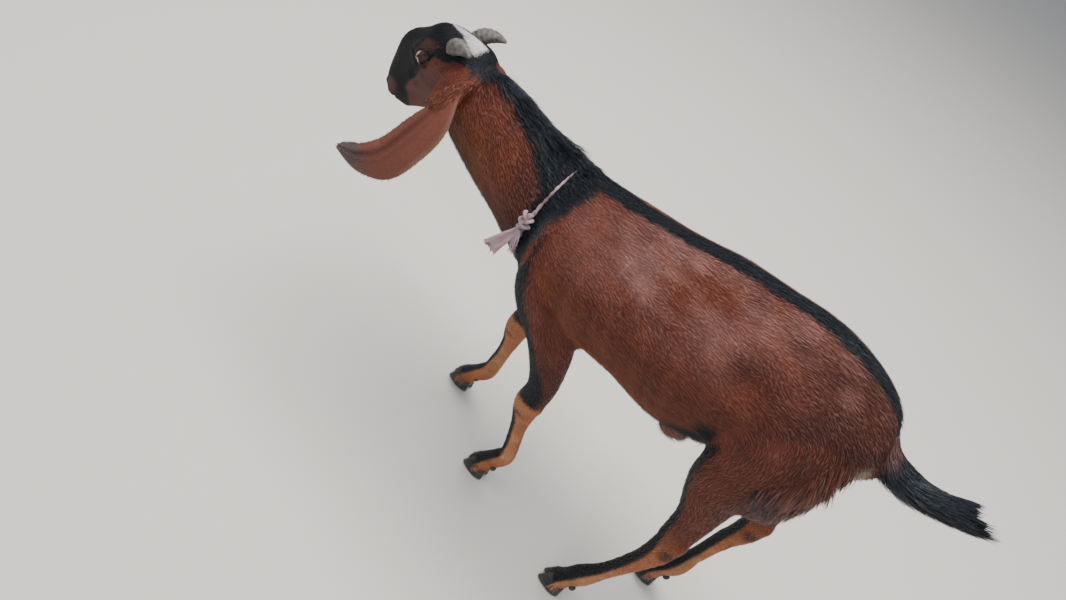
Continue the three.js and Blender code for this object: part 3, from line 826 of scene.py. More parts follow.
# Each ear's rows, and the way across that is towards the head.
EARS = {"ear_left": (EAR_SWUNG, 1), "ear_right": (EAR_HANGING, -1)}
EAR_STEPS, EAR_SIDES = 10, 44


def cupped(inward):
    """How an ear's sections bend: both edges lean to the head by 5 s^2, s being the sine of the
    angle round, the front edge rolls in further, and a groove runs beside the roll."""
    def bend(u, angle):
        """How far in the blade's surface lies: by the square of the sine, with a fold and waves."""
        s = np.sin(angle)
        lean = 5 * s**2 + 6 * rise(0.5, 1.0, s) + 2.6 * np.exp(-(((s - 0.4) / 0.14) ** 2))
        wave = 1.2 * np.sin(1.7 * u + 2 * s) * np.abs(s)
        return inward * (lean + wave) * rise(1.0, 2.6, u)
    return bend


def ear_surface(name):
    """An ear's points and faces, with the rows along and the angle round of each point."""
    rows, inward = EARS[name]
    points, faces = loft(rows, EAR_STEPS, EAR_SIDES, -1.2, cupped(inward))
    rings = (len(rows) - 1) * EAR_STEPS + 1
    u = np.repeat(np.linspace(0, len(rows) - 1, rings), EAR_SIDES)
    angle = np.tile(np.linspace(0, TAU, EAR_SIDES, endpoint=False), rings)
    return points, faces, np.append(u, [0, len(rows) - 1]), np.append(angle, [0, 0])


def lid_rim(side):
    """The moist edge of the lids: a tube round the opening, on the eyeball."""
    centre, outward, forward, up = eye_axes(side)
    turn = np.linspace(0, TAU, 96, endpoint=False)[:, None] * side
    tilt = lid_edge(turn) + 0.03
    ray = np.cos(tilt) * outward + np.sin(tilt) * (np.cos(turn) * forward + np.sin(turn) * up)
    points, faces = tube(centre + ray * (EYE_RADIUS + 1.0), 1.35, ray, 10, closed=True)
    # Partly painted highlight, partly the pale lid margin: the rim is pale over part of its front and dark
    # elsewhere.
    low = 0.6 * np.cos(turn[:, 0]) - 0.8 * np.sin(turn[:, 0] * side)
    pale = np.repeat(0.06 + 0.86 * rise(0.0, 0.6, low), 10)
    return from_head(points), faces, blend(LID_DARK, PALE_EDGE_HIGHLIGHT, pale)


def flow_of(points, part, u, normals):
    """The way the hair lies: along each part, a little downwards on trunk, neck and head."""
    flow = np.zeros_like(points)
    for number, (rows, way, on_head) in enumerate(PARTS.values()):
        on = part == number
        if on.any():
            along = sections(rows, u[on])[1] * way
            flow[on] = along @ HEAD_TURN.T if on_head else along
    for rows in EAR_BASES.values():
        place, _, gap = place_on(points, rows)
        on = gap < 12
        pull = (1 - rise(-2, 12, gap[on]))[:, None]
        flow[on] = flow[on] * (1 - pull) + sections(rows, place[on])[1] * 1.5 * pull
    sag = np.where(part < 3, np.array([0.42, 0.3, 0.2])[np.minimum(part, 2)], 0)
    flow[:, 2] -= sag * (1 - np.abs(normals[:, 2]))
    return flow


def remeshed(points, faces, voxel):
    """One surface for many that overlap, over a grid of voxel mm, as an object."""
    made = mesh_object("hide", points, faces)
    union = made.modifiers.new("Union", "REMESH")
    union.mode, union.voxel_size = "VOXEL", voxel * MM
    graph = bpy.context.evaluated_depsgraph_get()
    whole = bpy.data.meshes.new_from_object(made.evaluated_get(graph))
    made.modifiers.clear()
    made.data = whole
    return made


def shaped_skin(voxel):
    """The skin of flesh with its forms: points, triangles."""
    made = remeshed(*flesh(), voxel)
    points, pairs = points_of(made.data), edges_of(made.data)
    part, _, _, apart = locate(points)
    points = relaxed(points, pairs, 3)
    points = relaxed(points, pairs, 26, np.exp(-((apart / 9) ** 2)) * (part != 2))
    normals = normals_of(points, triangles_of(made.data))
    points = sculpt_trunk(points, normals)
    for number, name in enumerate(PART_NAMES):
        if name in FORE or name in HIND:
            on = (part == number) & (points[:, 2] < 470)
            forms, lines = leg_forms(name)
            points[on] = crease(swell(points[on], normals[on], forms), normals[on], lines)
    put_points(made.data, relaxed(points, pairs, 2))
    refine(made, points[:, 0] < HEAD_BACK)
    points = relaxed(points_of(made.data), edges_of(made.data), 2)
    put_points(made.data, points)
    refine(made, np.linalg.norm(folded(in_head(points)) - EYE_AT, axis=1) < 2 * EYE_RADIUS)
    points, triangles = points_of(made.data), triangles_of(made.data)
    on = points[:, 0] < HEAD_BACK + 24
    points[on] = sculpt_head(points[on], normals_of(points, triangles)[on])
    bpy.data.objects.remove(made)
    return points, triangles


def add_colours(mesh, colours):
    """Stores a colour for each point, as the attribute the materials read."""
    shade = mesh.color_attributes.new("shade", "FLOAT_COLOR", "POINT")
    full = np.ones((len(colours), 4), np.float32)
    full[:, :3] = np.clip(colours, 0, 1)
    shade.data.foreach_set("color", full.ravel())


GROUND = {}  # what the coat grows from: filled by the skin, read by the coat


def coloured(name, *surfaces):
    """Several (points, faces, colours) as one object."""
    made = mesh_object(name, *joined(*(surface[:2] for surface in surfaces)))
    add_colours(made.data, np.concatenate([surface[2] for surface in surfaces]))
    return made


def build_skin(voxel):
    """The skin, its ears and the edges of its lids, as one object."""
    points, triangles = shaped_skin(voxel)
    normals = normals_of(points, triangles)
    part, u, angle, _ = locate(points)
    pairs = np.unique(np.sort(triangles[:, [0, 1, 1, 2, 2, 0]].reshape(-1, 2), 1), axis=0)
    GROUND["body"] = (points, triangles, normals, relaxed(flow_of(points, part, u, normals), pairs, 30))
    corners = np.pad(triangles, ((0, 0), (0, 1)), constant_values=-1)
    # The skin and ears are 0.8 of the hair's colour: painted shade under the hairs, where it shows in the
    # gaps.
    surfaces = [(points, corners, coat_colour(points, part, np.sin(angle)) * 0.8)]
    for name in EARS:
        GROUND[name] = ear, faces, u, angle = ear_surface(name)
        surfaces.append((ear, faces, ear_colour(ear, u, np.sin(angle)) * 0.8))
    return coloured("hide", *surfaces, lid_rim(-1), lid_rim(1))


# --- eyes, horns, hooves, cloth

IRIS, IRIS_EDGE, PUPIL, SCLERA = linear("573416"), linear("1E1008"), linear("060504"), linear("CFC6BE")


def eyeball(side):
    """One eye, with a clear bulge in front, and its colours: a brown iris with fine rays, a level
    slit of a pupil with round ends, and a dark white."""
    centre, outward, forward, up = eye_axes(side)
    tilt = np.concatenate([np.linspace(0.02, 0.95, 48), np.linspace(1.0, math.pi - 0.1, 16)])[:, None]
    turn = np.linspace(0, TAU, 96, endpoint=False)[None] * side
    ray = (np.cos(tilt)[..., None] * outward
           + np.sin(tilt)[..., None] * (np.cos(turn)[..., None] * forward + np.sin(turn)[..., None] * up))
    far = EYE_RADIUS - 0.25 + 0.55 * np.exp(-((tilt / 0.7) ** 2))
    points, faces = closed_rings(centre + ray * far[..., None], centre + outward * (EYE_RADIUS + 0.3),
                                 centre - outward * (EYE_RADIUS - 0.25))
    tilt, turn = (angle.ravel() for angle in np.broadcast_arrays(tilt, turn))
    slit = np.hypot(np.maximum(np.abs(tilt * np.cos(turn)) - 0.3, 0), tilt * np.sin(turn))
    rays = 1 + 0.25 * np.sin(turn * 31 + 3 * np.sin(turn * 7)) * rise(0.2, 0.6, tilt)
    colour = painted(IRIS * rays[:, None], (IRIS_EDGE, rise(0.4, 0.58, tilt)),
                     (SCLERA, rise(0.6, 0.66, tilt) * rise(0.2, -0.3, np.cos(turn))),
                     (PUPIL, 1 - rise(0.15, 0.19, slit)))
    return from_head(points), faces, np.concatenate([colour, [PUPIL, SCLERA]])


def build_eyes():
    """Both eyes as one object."""
    return coloured("eyes", eyeball(-1), eyeball(1))


def horn_rows(side):
    """Rows of a horn in the head's frame."""
    return stations((-18, side * 22, 34, 12, 12), (-4, side * 27, 41, 12.5, 13),
                    (10, side * 32, 41, 11.5, 12), (24, side * 38, 34, 8, 8.5),
                    (35, side * 42, 24, 2.5, 2.5))


def build_horns(rings):
    """Short cones with uneven rings: waves of 0.5 mm along them, fading to the tip."""
    surfaces = []
    for side in (-1, 1):
        def wave(u, angle):
            """How far the horn stands out: sharpened sine rings, and half a slower wobble."""
            wobble = 0.35 * np.sin(3 * angle + 1.3 * u + side) + 0.2 * np.sin(7 * angle - 3 * u)
            ridges = np.sin(TAU * rings * u / 4 + 0.5 * np.sin(2 * angle))
            sharp = 0.35 * np.sign(ridges) * np.abs(ridges) ** 0.6
            return sharp * (1 - rise(2.6, 3.9, u)) + 0.5 * wobble - 0.2
        points, faces = loft(horn_rows(side), 22, 48, wave)
        surfaces.append((from_head(points), faces))
    return mesh_object("horns", *joined(*surfaces))


def claw_surface(x, y):
    """Half a hoof on its flat sole, with growth rings of 0.2 mm down its wall."""
    half = HOOF_HALF / 2 - 0.3
    rows = stations((x + 1, y, HOOF_TOP + 3, half - 2.5, 14, 14), (x, y, HOOF_TOP - 1, half - 0.4, 18, 18),
                    (x, y, 18, half, 23, 19), (x, y, 5, half + 0.2, 28, 20),
                    (x, y, 1, half, 28, 20), (x, y, 0, half - 1, 27, 19))
    rings = lambda u, angle: 0.22 * np.sin(u * 9) * (1 - rise(3, 3.6, u)) * rise(0.4, 1, u)
    return loft(rows, 8, 36, rings)


def build_hooves():
    """Two claws and two dewclaws for each foot."""
    feet = [(hoof, side * (track + out * HOOF_HALF / 2))
            for track, legs in ((FORE_TRACK, FORE), (HIND_TRACK, HIND))
            for side, hoof, *_ in legs.values() for out in (-1, 1)]
    claws = [(claw_surface(x, y), egg((x + 25, y, 56), (5.2, 5, 7.5), 25, 20, 24)) for x, y in feet]
    return mesh_object("hooves", *joined(*(surface for pair in claws for surface in pair)))


COLLAR_AT = 1.78  # rows along the neck
KNOT_AT = np.array([-279.0, -79.0, 531.0])
# Each loop of the knot: how low it lies, its lean, its reach and its thickness.
KNOT_LOOPS = ((9, -0.5, 8, 2.6), (3, 0.5, 9.5, 2.8), (-4, -0.25, 9, 2.6), (-10, 0.6, 8, 2.4),
              (0, 1.3, 15, 2.2))
CLOTH_LINE = np.array([(-282, -82, 514), (-284, -83.5, 505), (-288, -85, 494), (-292, -86.5, 483),
                       (-297, -87.5, 471), (-301, -88, 460), (-304, -88, 453)], float)


def on_rim(rows, u, angle, grow):
    """Points on a loft's outline u rows along, at an angle round: the points, their sections'
    centres, axes and sizes, and how far across and up they are."""
    centre, along, across, up, size = sections(rows, u)
    out, over = (half[:, None] for half in rim(size, angle, grow))
    return centre + across * out + up * over, centre, along, across, up, size, out, over


def build_collar():
    """Two strands of rag twisted round each other, thinner where the mane covers them, with the
    knot they end in: a lump crossed by loops, and frayed strands that hang from it."""
    angle = np.linspace(0, TAU, 640, endpoint=False)
    top = np.exp(-(((angle - math.pi / 2) / 0.95) ** 2))
    middle, centre, *_ = on_rim(NECK, np.full(len(angle), COLLAR_AT), angle, -4.8 * top)
    out = unit(middle - centre)
    beside = np.cross(out, unit(np.roll(middle, -1, 0) - np.roll(middle, 1, 0)))
    surfaces = []
    for strand in (0, 1):
        twist = 26 * angle + strand * math.pi + 0.5 * np.sin(5 * angle)
        offset = out * np.cos(twist)[:, None] + beside * np.sin(twist)[:, None]
        slack, thin = 1 + 0.18 * np.sin(9 * angle + strand), 1 - 0.62 * top
        surfaces.append(tube(middle + offset * (1.5 * thin)[:, None], 1.8 * slack * thin, out, 12, True))
    surfaces.append(egg(KNOT_AT, (6.5, 5, 17), 8))
    turn = np.linspace(-1.9, 1.9, 30)
    for drop, lean, reach, thick in KNOT_LOOPS:
        ring = np.stack([np.sin(turn) * reach * math.cos(lean), -np.cos(turn) * 7,
                         drop + np.sin(turn) * reach * math.sin(lean)], -1)
        surfaces.append(tube(KNOT_AT + ring, thick + 0.4 * np.sin(turn * 4), np.array([0, -1.0, 0.2]), 12))
    fall = np.linspace(0, 1, 16)[:, None]
    for k in range(9):
        sway = np.array([3 * math.sin(2.1 * k), -2 + math.sin(k), 0]) * np.sin(fall * math.pi * 0.9)
        reach = (2.5 + 0.9 * k, -3 - math.sin(k), -34 - 9 * math.sin(1.7 * k))
        path = KNOT_AT + (-1 + 0.5 * k, -5.5, -15) + sway + fall * reach
        surfaces.append(tube(path, 1.25 * (1.15 - 0.6 * fall[:, 0]), np.array([1.0, 0, 0]), 8))
    return mesh_object("collar_rag", *joined(*surfaces))


CLOTH_HALF = 0.55  # half its thickness


def build_cloth_end(width, threads):
    """The short end of cloth: a thin strip whose pleats are a sine wave across it that grows as it
    falls, with frayed threads at its edge."""
    t = np.linspace(0, len(CLOTH_LINE) - 1, 40)[:, None]
    line = eased(CLOTH_LINE, t[:, 0])
    s = np.linspace(-1, 1, 33)
    half = np.interp(t, [0, 1, 2, 3.5, 5, 6], [3, 5, 7.5, 10, 12, 12.5]) * width / 25
    pleat = 2.0 * np.sin(s[None] * 4.2 + 0.8 + 0.25 * t) * rise(0, 1.5, t)
    x = line[:, :1] + half * s + 0.8 * np.sin(7 * s)[None]
    y = line[:, 1:2] + pleat
    ragged = 2.5 * np.sin(11 * s) + 1.5 * np.sin(23 * s + 1)
    z = line[:, 2:] + ragged * rise(5, 6, t) - 0.12 * half * s
    front, back = (np.stack([x, y + face, z], -1) for face in (-CLOTH_HALF, CLOTH_HALF))
    grid = np.concatenate([front, back[:, ::-1]], 1)  # each ring goes along the front and back again
    surfaces = [closed_rings(grid, grid[0].mean(0), grid[-1].mean(0))]
    draw, fall = np.random.RandomState(4), np.linspace(0, 1, 9)[:, None]
    for place in np.linspace(1, 31, threads).astype(int):
        root = (front[-2, place] + back[-2, place]) / 2
        lean = draw.uniform(-1, 1, 3) * (4, 2, 1.5)
        path = root + fall * (0, 0, -draw.uniform(5, 11)) + fall**2 * lean
        surfaces.append(tube(path, 0.5 * (1.2 - fall[:, 0]), np.array([1.0, 0, 0]), 6))
    return mesh_object("collar_cloth", *joined(*surfaces))


# --- coat

# Per part: hair's length, its width, how far its tip stands off as a share of its length, and the
# area in square mm that one tuft has.
COAT = {
    "trunk": (11.0, 1.25, 0.085, 7.9), "neck": (12.0, 1.3, 0.09, 7.9), "head": (5.0, 0.8, 0.03, 3.4),
    "leg": (7.0, 1.0, 0.1, 7.4), "ear": (4.2, 0.8, 0.05, 4.7),
}


def coat_plan(points, part, sine):
    """Length, width, stand-off and area of a tuft for each point, as columns."""
    names = [name if name in COAT else "leg" for name in PART_NAMES]
    length, width, stand, area = np.array([COAT[name] for name in names])[part].T
    x, z, face = points[:, 0], points[:, 2], in_head(points)[:, 0]
    leg, head = part > 2, part == 2
    down = lambda old, heights, values: np.where(leg, np.interp(z, heights, values), old)
    on_face = lambda old, places, values: np.where(head, np.interp(face, places, values), old)
    length = down(length, [34, 50, 90, 160, 300, 420], [11, 5, 4.5, 5.2, 7, 11])
    stand = down(stand, [34, 50], [0.24, 0.1])
    width = down(width, [40, 160, 300, 420], [0.95, 1.05, 1.2, 1.35])
    area = down(area, [40, 160, 300, 420], [4.9, 5.7, 7.6, 10.2])
    length = on_face(length, [-195, -150, -90, -20, 10], [2.4, 3.2, 4.2, 5.2, 6.5])
    width = on_face(width, [-195, -120, -20], [0.65, 0.8, 0.95])
    area = on_face(area, [-195, -120, -20], [2.0, 2.7, 4.2])
    length = length + np.where(head & (sine < -0.7) & (face > -120), 4, 0)
    length = length + 5 * (rise(0.75, 1.0, sine) * (part == 0) + rise(0.55, 0.95, sine) * (part == 1))
    under = rise(0.65, 0.95, -sine) * (part < 2)
    length, stand = length + 5 * under, stand + 0.1 * under
    fringe = np.exp(-(((x - 252) / 20) ** 2 + ((z - 500) / 70) ** 2)) * (part != 1)
    length, stand = length + 14 * fringe, stand + 0.06 * fringe
    near_collar = np.exp(-(((x + 258 + 0.05 * (z - 512)) / 9) ** 2)) * (part < 2) * (sine < 0.8)
    return np.stack([length * (1 - 0.3 * near_collar), width, stand, area], -1)


def planned(length, width, stand):
    """Columns of a plan from numbers and arrays."""
    return np.stack(np.broadcast_arrays(length, width, stand), -1)


def sown(points, triangles, area, draw):
    """Roots over a surface, evenly but not in rows: steps along the running total of triangle
    area divided by a tuft's area, each shaken by up to half a step, and a random spot in the
    triangle each falls in. Gives the roots, and what carries values of points to them."""
    a, b, c = (points[triangles[:, k]] for k in range(3))
    total = np.cumsum(np.linalg.norm(np.cross(b - a, c - a), axis=1) / 2 / area[triangles].mean(1))
    count = int(total[-1])
    steps = np.sort((np.arange(count) + draw.uniform(0, 1, count)) * total[-1] / count)
    chosen = triangles[np.minimum(np.searchsorted(total, steps), len(triangles) - 1)]
    p, q = draw.uniform(0, 1, (2, count))
    over = p + q > 1
    p, q = np.where(over, 1 - p, p), np.where(over, 1 - q, q)
    shares = np.stack([1 - p - q, p, q], -1)

    def carry(values):
        """Values at the points, shared out to what was sown by its place in its triangle."""
        return (values[chosen] * shares.reshape(shares.shape + (1,) * (values.ndim - 1))).sum(1)
    return carry(points), carry


def tuft_points(root, normal, flow, plan, rows, fall=0.0):
    """Points of many tufts. Each is a bent spike: rings of three points (left, ridge, right) and a
    tip. At a share t of its length L it is at root + flow L t + normal L stand (1.7 t - 0.7 t^2),
    less fall L t^2 in height."""
    length, width, stand = (plan[:, k, None] for k in range(3))
    side = np.cross(flow, normal)
    places = np.linspace(0, 1, rows + 1)
    shape = np.empty((len(root), rows * 3 + 1, 3))
    for row, t in enumerate(places):
        lift = length * stand * (1.7 * t - 0.7 * t * t) - (ROOT_SINK if row == 0 else 0)
        spine = root + flow * (length * t) + normal * lift
        spine[:, 2] -= fall * (length * t * t)[:, 0]
        if row == rows:
            shape[:, -1] = spine
            break
        half = 0.5 * width * (1 - 0.12 * (1 - t) - t**2.2)
        shape[:, row * 3] = spine - side * half
        shape[:, row * 3 + 1] = spine + normal * (0.3 * half)
        shape[:, row * 3 + 2] = spine + side * half
    return shape


def tuft_faces(count, rows):
    """Faces for that many tufts: three walls between rings, three to the tip, one at the root."""
    walls = [(r * 3 + k, r * 3 + j, r * 3 + j + 3, r * 3 + k + 3)
             for r in range(rows - 1) for k, j in ((0, 1), (1, 2), (2, 0))]
    last = (rows - 1) * 3
    ends = [(last + k, last + j, last + 3, -1) for k, j in ((0, 1), (1, 2), (2, 0))] + [(0, 2, 1, -1)]
    one = np.array(walls + ends)
    start = (np.arange(count) * (rows * 3 + 1))[:, None, None]
    return np.where(one[None] < 0, -1, one[None] + start).reshape(-1, 4)


PATCH = 0.003  # how wide a tuft is on the coat's own map
ROOT_SINK = 0.6  # how deep a tuft's first ring lies in the skin
GLINT_SHARE, GLINT_WEIGHT = 0.3, 0.18  # how many tufts have a painted glint at the tip, and how strong it is
BREECHES_LINE = np.array([(209, 94, 520), (234, 86, 562), (246, 70, 594), (252, 54, 615)], float)


def tuft_map(chart, rows):
    """Places on the OFBake map: each tuft's points in a patch round its root's place."""
    places = np.linspace(-0.5, 0.3, rows)
    around = np.concatenate([np.stack([[-0.5, 0, 0.5], t + np.array([0, 0.15, 0])], -1) for t in places]
                            + [np.array([[0, 0.5]])])
    return (chart[:, None] + around[None] * PATCH).reshape(-1, 2)


def add_map(mesh, places):
    """Stores the OFBake map, one place for each point."""
    corners = rows_of(mesh.loops, "vertex_index", 1)[:, 0]
    layer = mesh.uv_layers.new(name="OFBake")
    layer.data.foreach_set("uv", places[corners].astype(np.float32).ravel())


def chart_of(part, u, angle):
    """Places on the unit square, worked out from where roots are along and round each part: one
    column for each part, the angle round across it, and the rows along up it."""
    chart = np.zeros((len(part), 2))
    numbers = np.unique(part)
    for column, number in enumerate(numbers):
        on = part == number
        low, high = u[on].min(), max(u[on].max(), u[on].min() + 0.01)
        across = (angle[on] / TAU) % 1.0
        chart[on, 0] = (column + 0.01 + 0.98 * across) / len(numbers)
        chart[on, 1] = 0.01 + 0.98 * (u[on] - low) / (high - low)
    return chart


def shaken(flow, normal, degrees, draw, roots):
    """The lie turned about the skin's normal: waves of 9 degrees over the coat, and a random turn."""
    turn = np.radians(9) * ripple(roots, 48, 21) + np.radians(degrees) * draw.normal(size=len(roots))
    flow = unit(flow - normal * (flow * normal).sum(1, keepdims=True))
    return flow * np.cos(turn)[:, None] + np.cross(normal, flow) * np.sin(turn)[:, None]


def tuft_object(name, roots, normals, flow, plan, colours, place, rows, draw, fall=0.0, lively=1.0):
    """One piece of coat. A tuft is 0.6 of its colour at the root, as painted shade among the hairs,
    and a little lighter than it at the tip, as painted light, times a factor of its own. Three in
    ten have a painted glint at the tip: pale on brown hair, a blue grey sky reflection on black
    hair. place is the part, rows along and angle round of each root."""
    calm = lively * np.interp(plan[:, :1], [5, 12], [0.25, 1.0])
    own = 1 + 0.16 * calm * draw.normal(size=(len(roots), 1)).clip(-2, 2.5)
    plan = plan.copy()
    plan[:, 0] *= draw.uniform(0.75, 1.2, len(roots))
    plan[:, 2] *= draw.uniform(0.5, 1.5, len(roots))
    points = tuft_points(roots, normals, flow, plan, rows, fall).reshape(-1, 3)
    made = mesh_object(name, points, tuft_faces(len(roots), rows))
    # Painted shade and light along each tuft: darker towards the root, lighter at the tip.
    shades = 1 + calm * (np.append(np.repeat(np.linspace(0.62, 1.06, rows), 3), 1.15) - 1)
    shaded = (colours * own)[:, None] * shades[..., None]
    # Painted glints: pale on brown hair, a blue grey sky reflection on black hair.
    tip = blend(PAINTED_GLINT, SKY_REFLECTION_BLUE, 1 - rise(0.01, 0.04, colours.mean(1)))
    pale = (draw.uniform(size=len(roots)) < GLINT_SHARE) * GLINT_WEIGHT * calm[:, 0]
    shaded[:, 3:] += (tip[:, None] - shaded[:, 3:]) * pale[:, None, None]
    add_colours(made.data, shaded.reshape(-1, 3))
    add_map(made.data, tuft_map(chart_of(*place), rows))
    return made


def bare(points, part):
    """Where no hair grows: in the eyes, on the horns, in the nostrils and mouth, on the hooves."""
    head = in_head(points)
    none = points[:, 2] < 13
    for side in (-1, 1):
        _, far, tilt, edge = round_eye(head, side)
        none |= (far < EYE_RADIUS + 8) & (tilt - edge < 0.14)
        none |= place_on(head, horn_rows(side))[2] < 0.5
        none |= np.linalg.norm((head - (-195, side * 14.5, 16)) / (6, 8, 4.5), axis=1) < 1
    x, y, z = folded(head).T
    return none | (part == 2) & (x < -186) & (y < 9) & (z > -3) & (z < 22)


PIECE_TUFTS = 18500  # the most short tufts in one piece


def grow_coat(density, long_hair):
    """Short tufts over the whole skin and the ears, in pieces of up to PIECE_TUFTS."""
    draw = np.random.RandomState(11)
    points, triangles, normals, lie = GROUND["body"]
    part, _, angle, _ = locate(points)
    area = coat_plan(points, part, np.sin(angle))[:, 3]
    roots, carry = sown(points, triangles, area / density, draw)
    part, u, angle, _ = locate(roots)
    keep = ~bare(roots, part) & ~(place_on(roots, TAIL)[2] < 4)
    up, flow = unit(carry(normals)), carry(lie)
    roots, up, flow, part, u, angle = (each[keep] for each in (roots, up, flow, part, u, angle))
    plan = coat_plan(roots, part, np.sin(angle)) * [long_hair, 1, 1, 1]
    colours = coat_colour(roots, part, np.sin(angle))
    flow = shaken(flow, up, 8, draw, roots)
    groups = {"trunk": part == 0, "neck": part == 1, "head": part == 2,
              "forelegs": (part == 3) | (part == 4), "hindlegs": part > 4}
    made = []
    for name, on in groups.items():
        places = np.nonzero(on)[0]
        places = places[np.argsort(roots[places, 0], kind="stable")]
        pieces = max(1, math.ceil(len(places) / PIECE_TUFTS))
        for number, some in enumerate(np.array_split(places, pieces)):
            label = f"coat_{name}" + (f"_{number + 1}" if pieces > 1 else "")
            made.append(tuft_object(label, roots[some], up[some], flow[some], plan[some], colours[some],
                                    (part[some], u[some], angle[some]), 2, draw))
    return made + [ear_coat(name, density, draw) for name in EARS]


def ear_coat(name, density, draw):
    """Short tufts from the root to the tip of an ear, on both faces. Towards the edges the hair
    turns outwards, so that it fringes them."""
    points, faces, u, angle = GROUND[name]
    quads = faces[faces[:, 3] >= 0]
    triangles = np.concatenate([quads[:, [0, 1, 2]], quads[:, [0, 2, 3]]])
    length, width, stand, area = COAT["ear"]
    roots, carry = sown(points, triangles, np.full(len(points), area / density), draw)
    up = unit(carry(normals_of(points, triangles)))
    place, cosine, sine = carry(u), carry(np.cos(angle)), carry(np.sin(angle))
    _, along, _, ridge, _ = sections(EARS[name][0], place)
    flow = shaken(unit(along + ridge * (0.35 * sine)[:, None]), up, 9, draw, roots)
    edge = np.abs(sine) > 0.93
    plan = planned(np.where(edge, length + 1.5, length) + 2 * rise(5.5, 7, place), width,
                   np.where(edge, 0.25, stand))
    spot = (np.zeros(len(roots), int), place, np.arctan2(sine, cosine))
    return tuft_object(f"coat_{name}", roots, up, flow, plan, ear_colour(roots, place, sine), spot, 2, draw)


def grow_mane(tufts_count, draw):
    """Long tufts: a ridge along the neck that grows to the withers and leans back over the
    collar, and longer hair down the back of the neck."""
    u = draw.uniform(1.55, 6.6, tufts_count)
    reach = np.interp(u, [1.5, 1.9, 2.6, 4, 6.6], [0.62, 0.6, 0.45, 0.3, 0.2])
    angle = math.pi / 2 + reach * draw.normal(size=tufts_count).clip(-1.6, 1.6)
    roots, _, along, across, ridge, size, out, over = on_rim(NECK, u, angle, -BODY_DEPTH)
    up = unit(across * out / size[:, :1] + ridge * over / size[:, 1:2])
    middle = np.exp(-(((angle - math.pi / 2) / 0.4) ** 2))
    peak = np.exp(-(((u - 2.9) / 0.42) ** 2)) * middle
    length = 15 + 8 * middle + 12 * peak - 6 * middle * np.exp(-(((u - 1.9) / 0.4) ** 2))
    plan = planned(length, 1.7, 0.14 + 0.08 * middle + 0.24 * peak)
    flow = shaken(-along + (0, 0, -0.1), up, 9, draw, roots)
    part = np.full(len(u), PART_NAMES.index("neck"))
    colours = coat_colour(roots, part, np.sin(angle))
    return tuft_object("mane", roots, up, flow, plan, colours, (part, u, angle), 4, draw)


def grow_tail(tufts_count, draw):
    """Sleek hair of the tail, close along its flesh, brown near the root and black beyond. At the
    end it parts into an upper and a lower lock that frays out."""
    u = np.concatenate([draw.uniform(0.3, 4.8, tufts_count * 3 // 4),
                        draw.uniform(4.1, 5.1, tufts_count // 4)])
    angle = draw.uniform(-math.pi, math.pi, len(u))
    roots, _, along, across, under, _, out, over = on_rim(TAIL, u, angle, -3.5)
    up = unit(across * out + under * over)
    end, sine = rise(4.0, 4.9, u), np.sin(angle)
    length = (np.interp(u, [0, 1.5, 3, 4.5], [15, 22, 26, 28])
              + end * np.interp(sine, [-1, -0.4, 0.3, 1], [-5, -9, -2, 18]))
    plan = planned(length, 1.9, np.interp(u, [0, 1, 3, 5, 7], [0.12, 0.12, 0.11, 0.08, 0.08]))
    flow = unit(along + under * (end * np.interp(sine, [-1, 0, 1], [-0.3, 0.05, 0.3]))[:, None])
    flow = shaken(flow, up, 5, draw, roots)
    brown = (1 - rise(1.4, 2.3, u + 0.15 * ripple(roots, 20, 6))) * (1 - 0.5 * rise(0.5, 1.0, sine))
    place = (np.zeros(len(u), int), u, angle)
    return tuft_object("tail_hair", roots, up, flow, plan, blend(BLACK, MUZZLE_BROWN, 0.9 * brown),
                       place, 4, draw, 0.0, 0.35)


def grow_breeches(density, draw):
    """Long hair on the back edge of each thigh, which hangs clear of it in locks: brown, with
    black and with light tufts among it."""
    points, triangles, normals, _ = GROUND["body"]
    far = distance_to(folded(points), eased(BREECHES_LINE, np.linspace(0, 3, 40)))
    roots, carry = sown(points, triangles, 2.4 / density / np.maximum(1 - rise(8, 17, far), 1e-5), draw)
    up = unit(carry(normals))
    part, u, angle, _ = locate(roots)
    flow = shaken(np.tile([0.16, 0.0, -1.0], (len(roots), 1)), up, 5, draw, roots)
    lock = ripple(roots, 16, 41)
    kind, low = draw.uniform(size=len(roots)) + 0.15 * lock, rise(524, 560, roots[:, 2])
    colours = painted(coat_colour(roots, part, np.sin(angle)),
                      (BLACK, (0.3 + 0.55 * (kind < 0.45)) * (1 - low)),
                      (RUST * 1.1, 0.35 * (kind > 0.7) * low))
    plan = planned(25 + 7 * lock, 1.6, 0.2 + 0.06 * lock)
    return tuft_object("breeches", roots, up, flow, plan, colours, (part, u, angle), 4, draw, 0.1)


# --- materials


def add_node(tree, kind, settings=None, **links):
    """Adds a node to a tree. settings gives its properties, its inputs by name or number, or the
    places and colours of its ramp. links gives inputs that come from other nodes' outputs: i6 is
    input 6, and Base_Color is the input with that name."""
    node = tree.nodes.new(kind)
    for key, value in (settings or {}).items():
        if key == "ramp":
            for element, (position, colour) in zip(node.color_ramp.elements, value):
                element.position, element.color = position, (*colour, 1)
        elif isinstance(key, str) and hasattr(node, key):
            setattr(node, key, value)
        else:
            node.inputs[key].default_value = value
    for key, source in links.items():
        place = int(key[1:]) if key[0] == "i" and key[1:].isdigit() else key.replace("_", " ")
        tree.links.new(source, node.inputs[place])
    return node


def begun(name):
    """A new material, and its tree with no nodes."""
    made = bpy.data.materials.new(name)
    made.use_nodes = True
    made.node_tree.nodes.clear()
    return made, made.node_tree


def finished(tree, settings, **links):
    """Ends a material's tree in one Principled shader."""
    shader = add_node(tree, "ShaderNodeBsdfPrincipled", settings, **links)
    add_node(tree, "ShaderNodeOutputMaterial", Surface=shader.outputs[0])


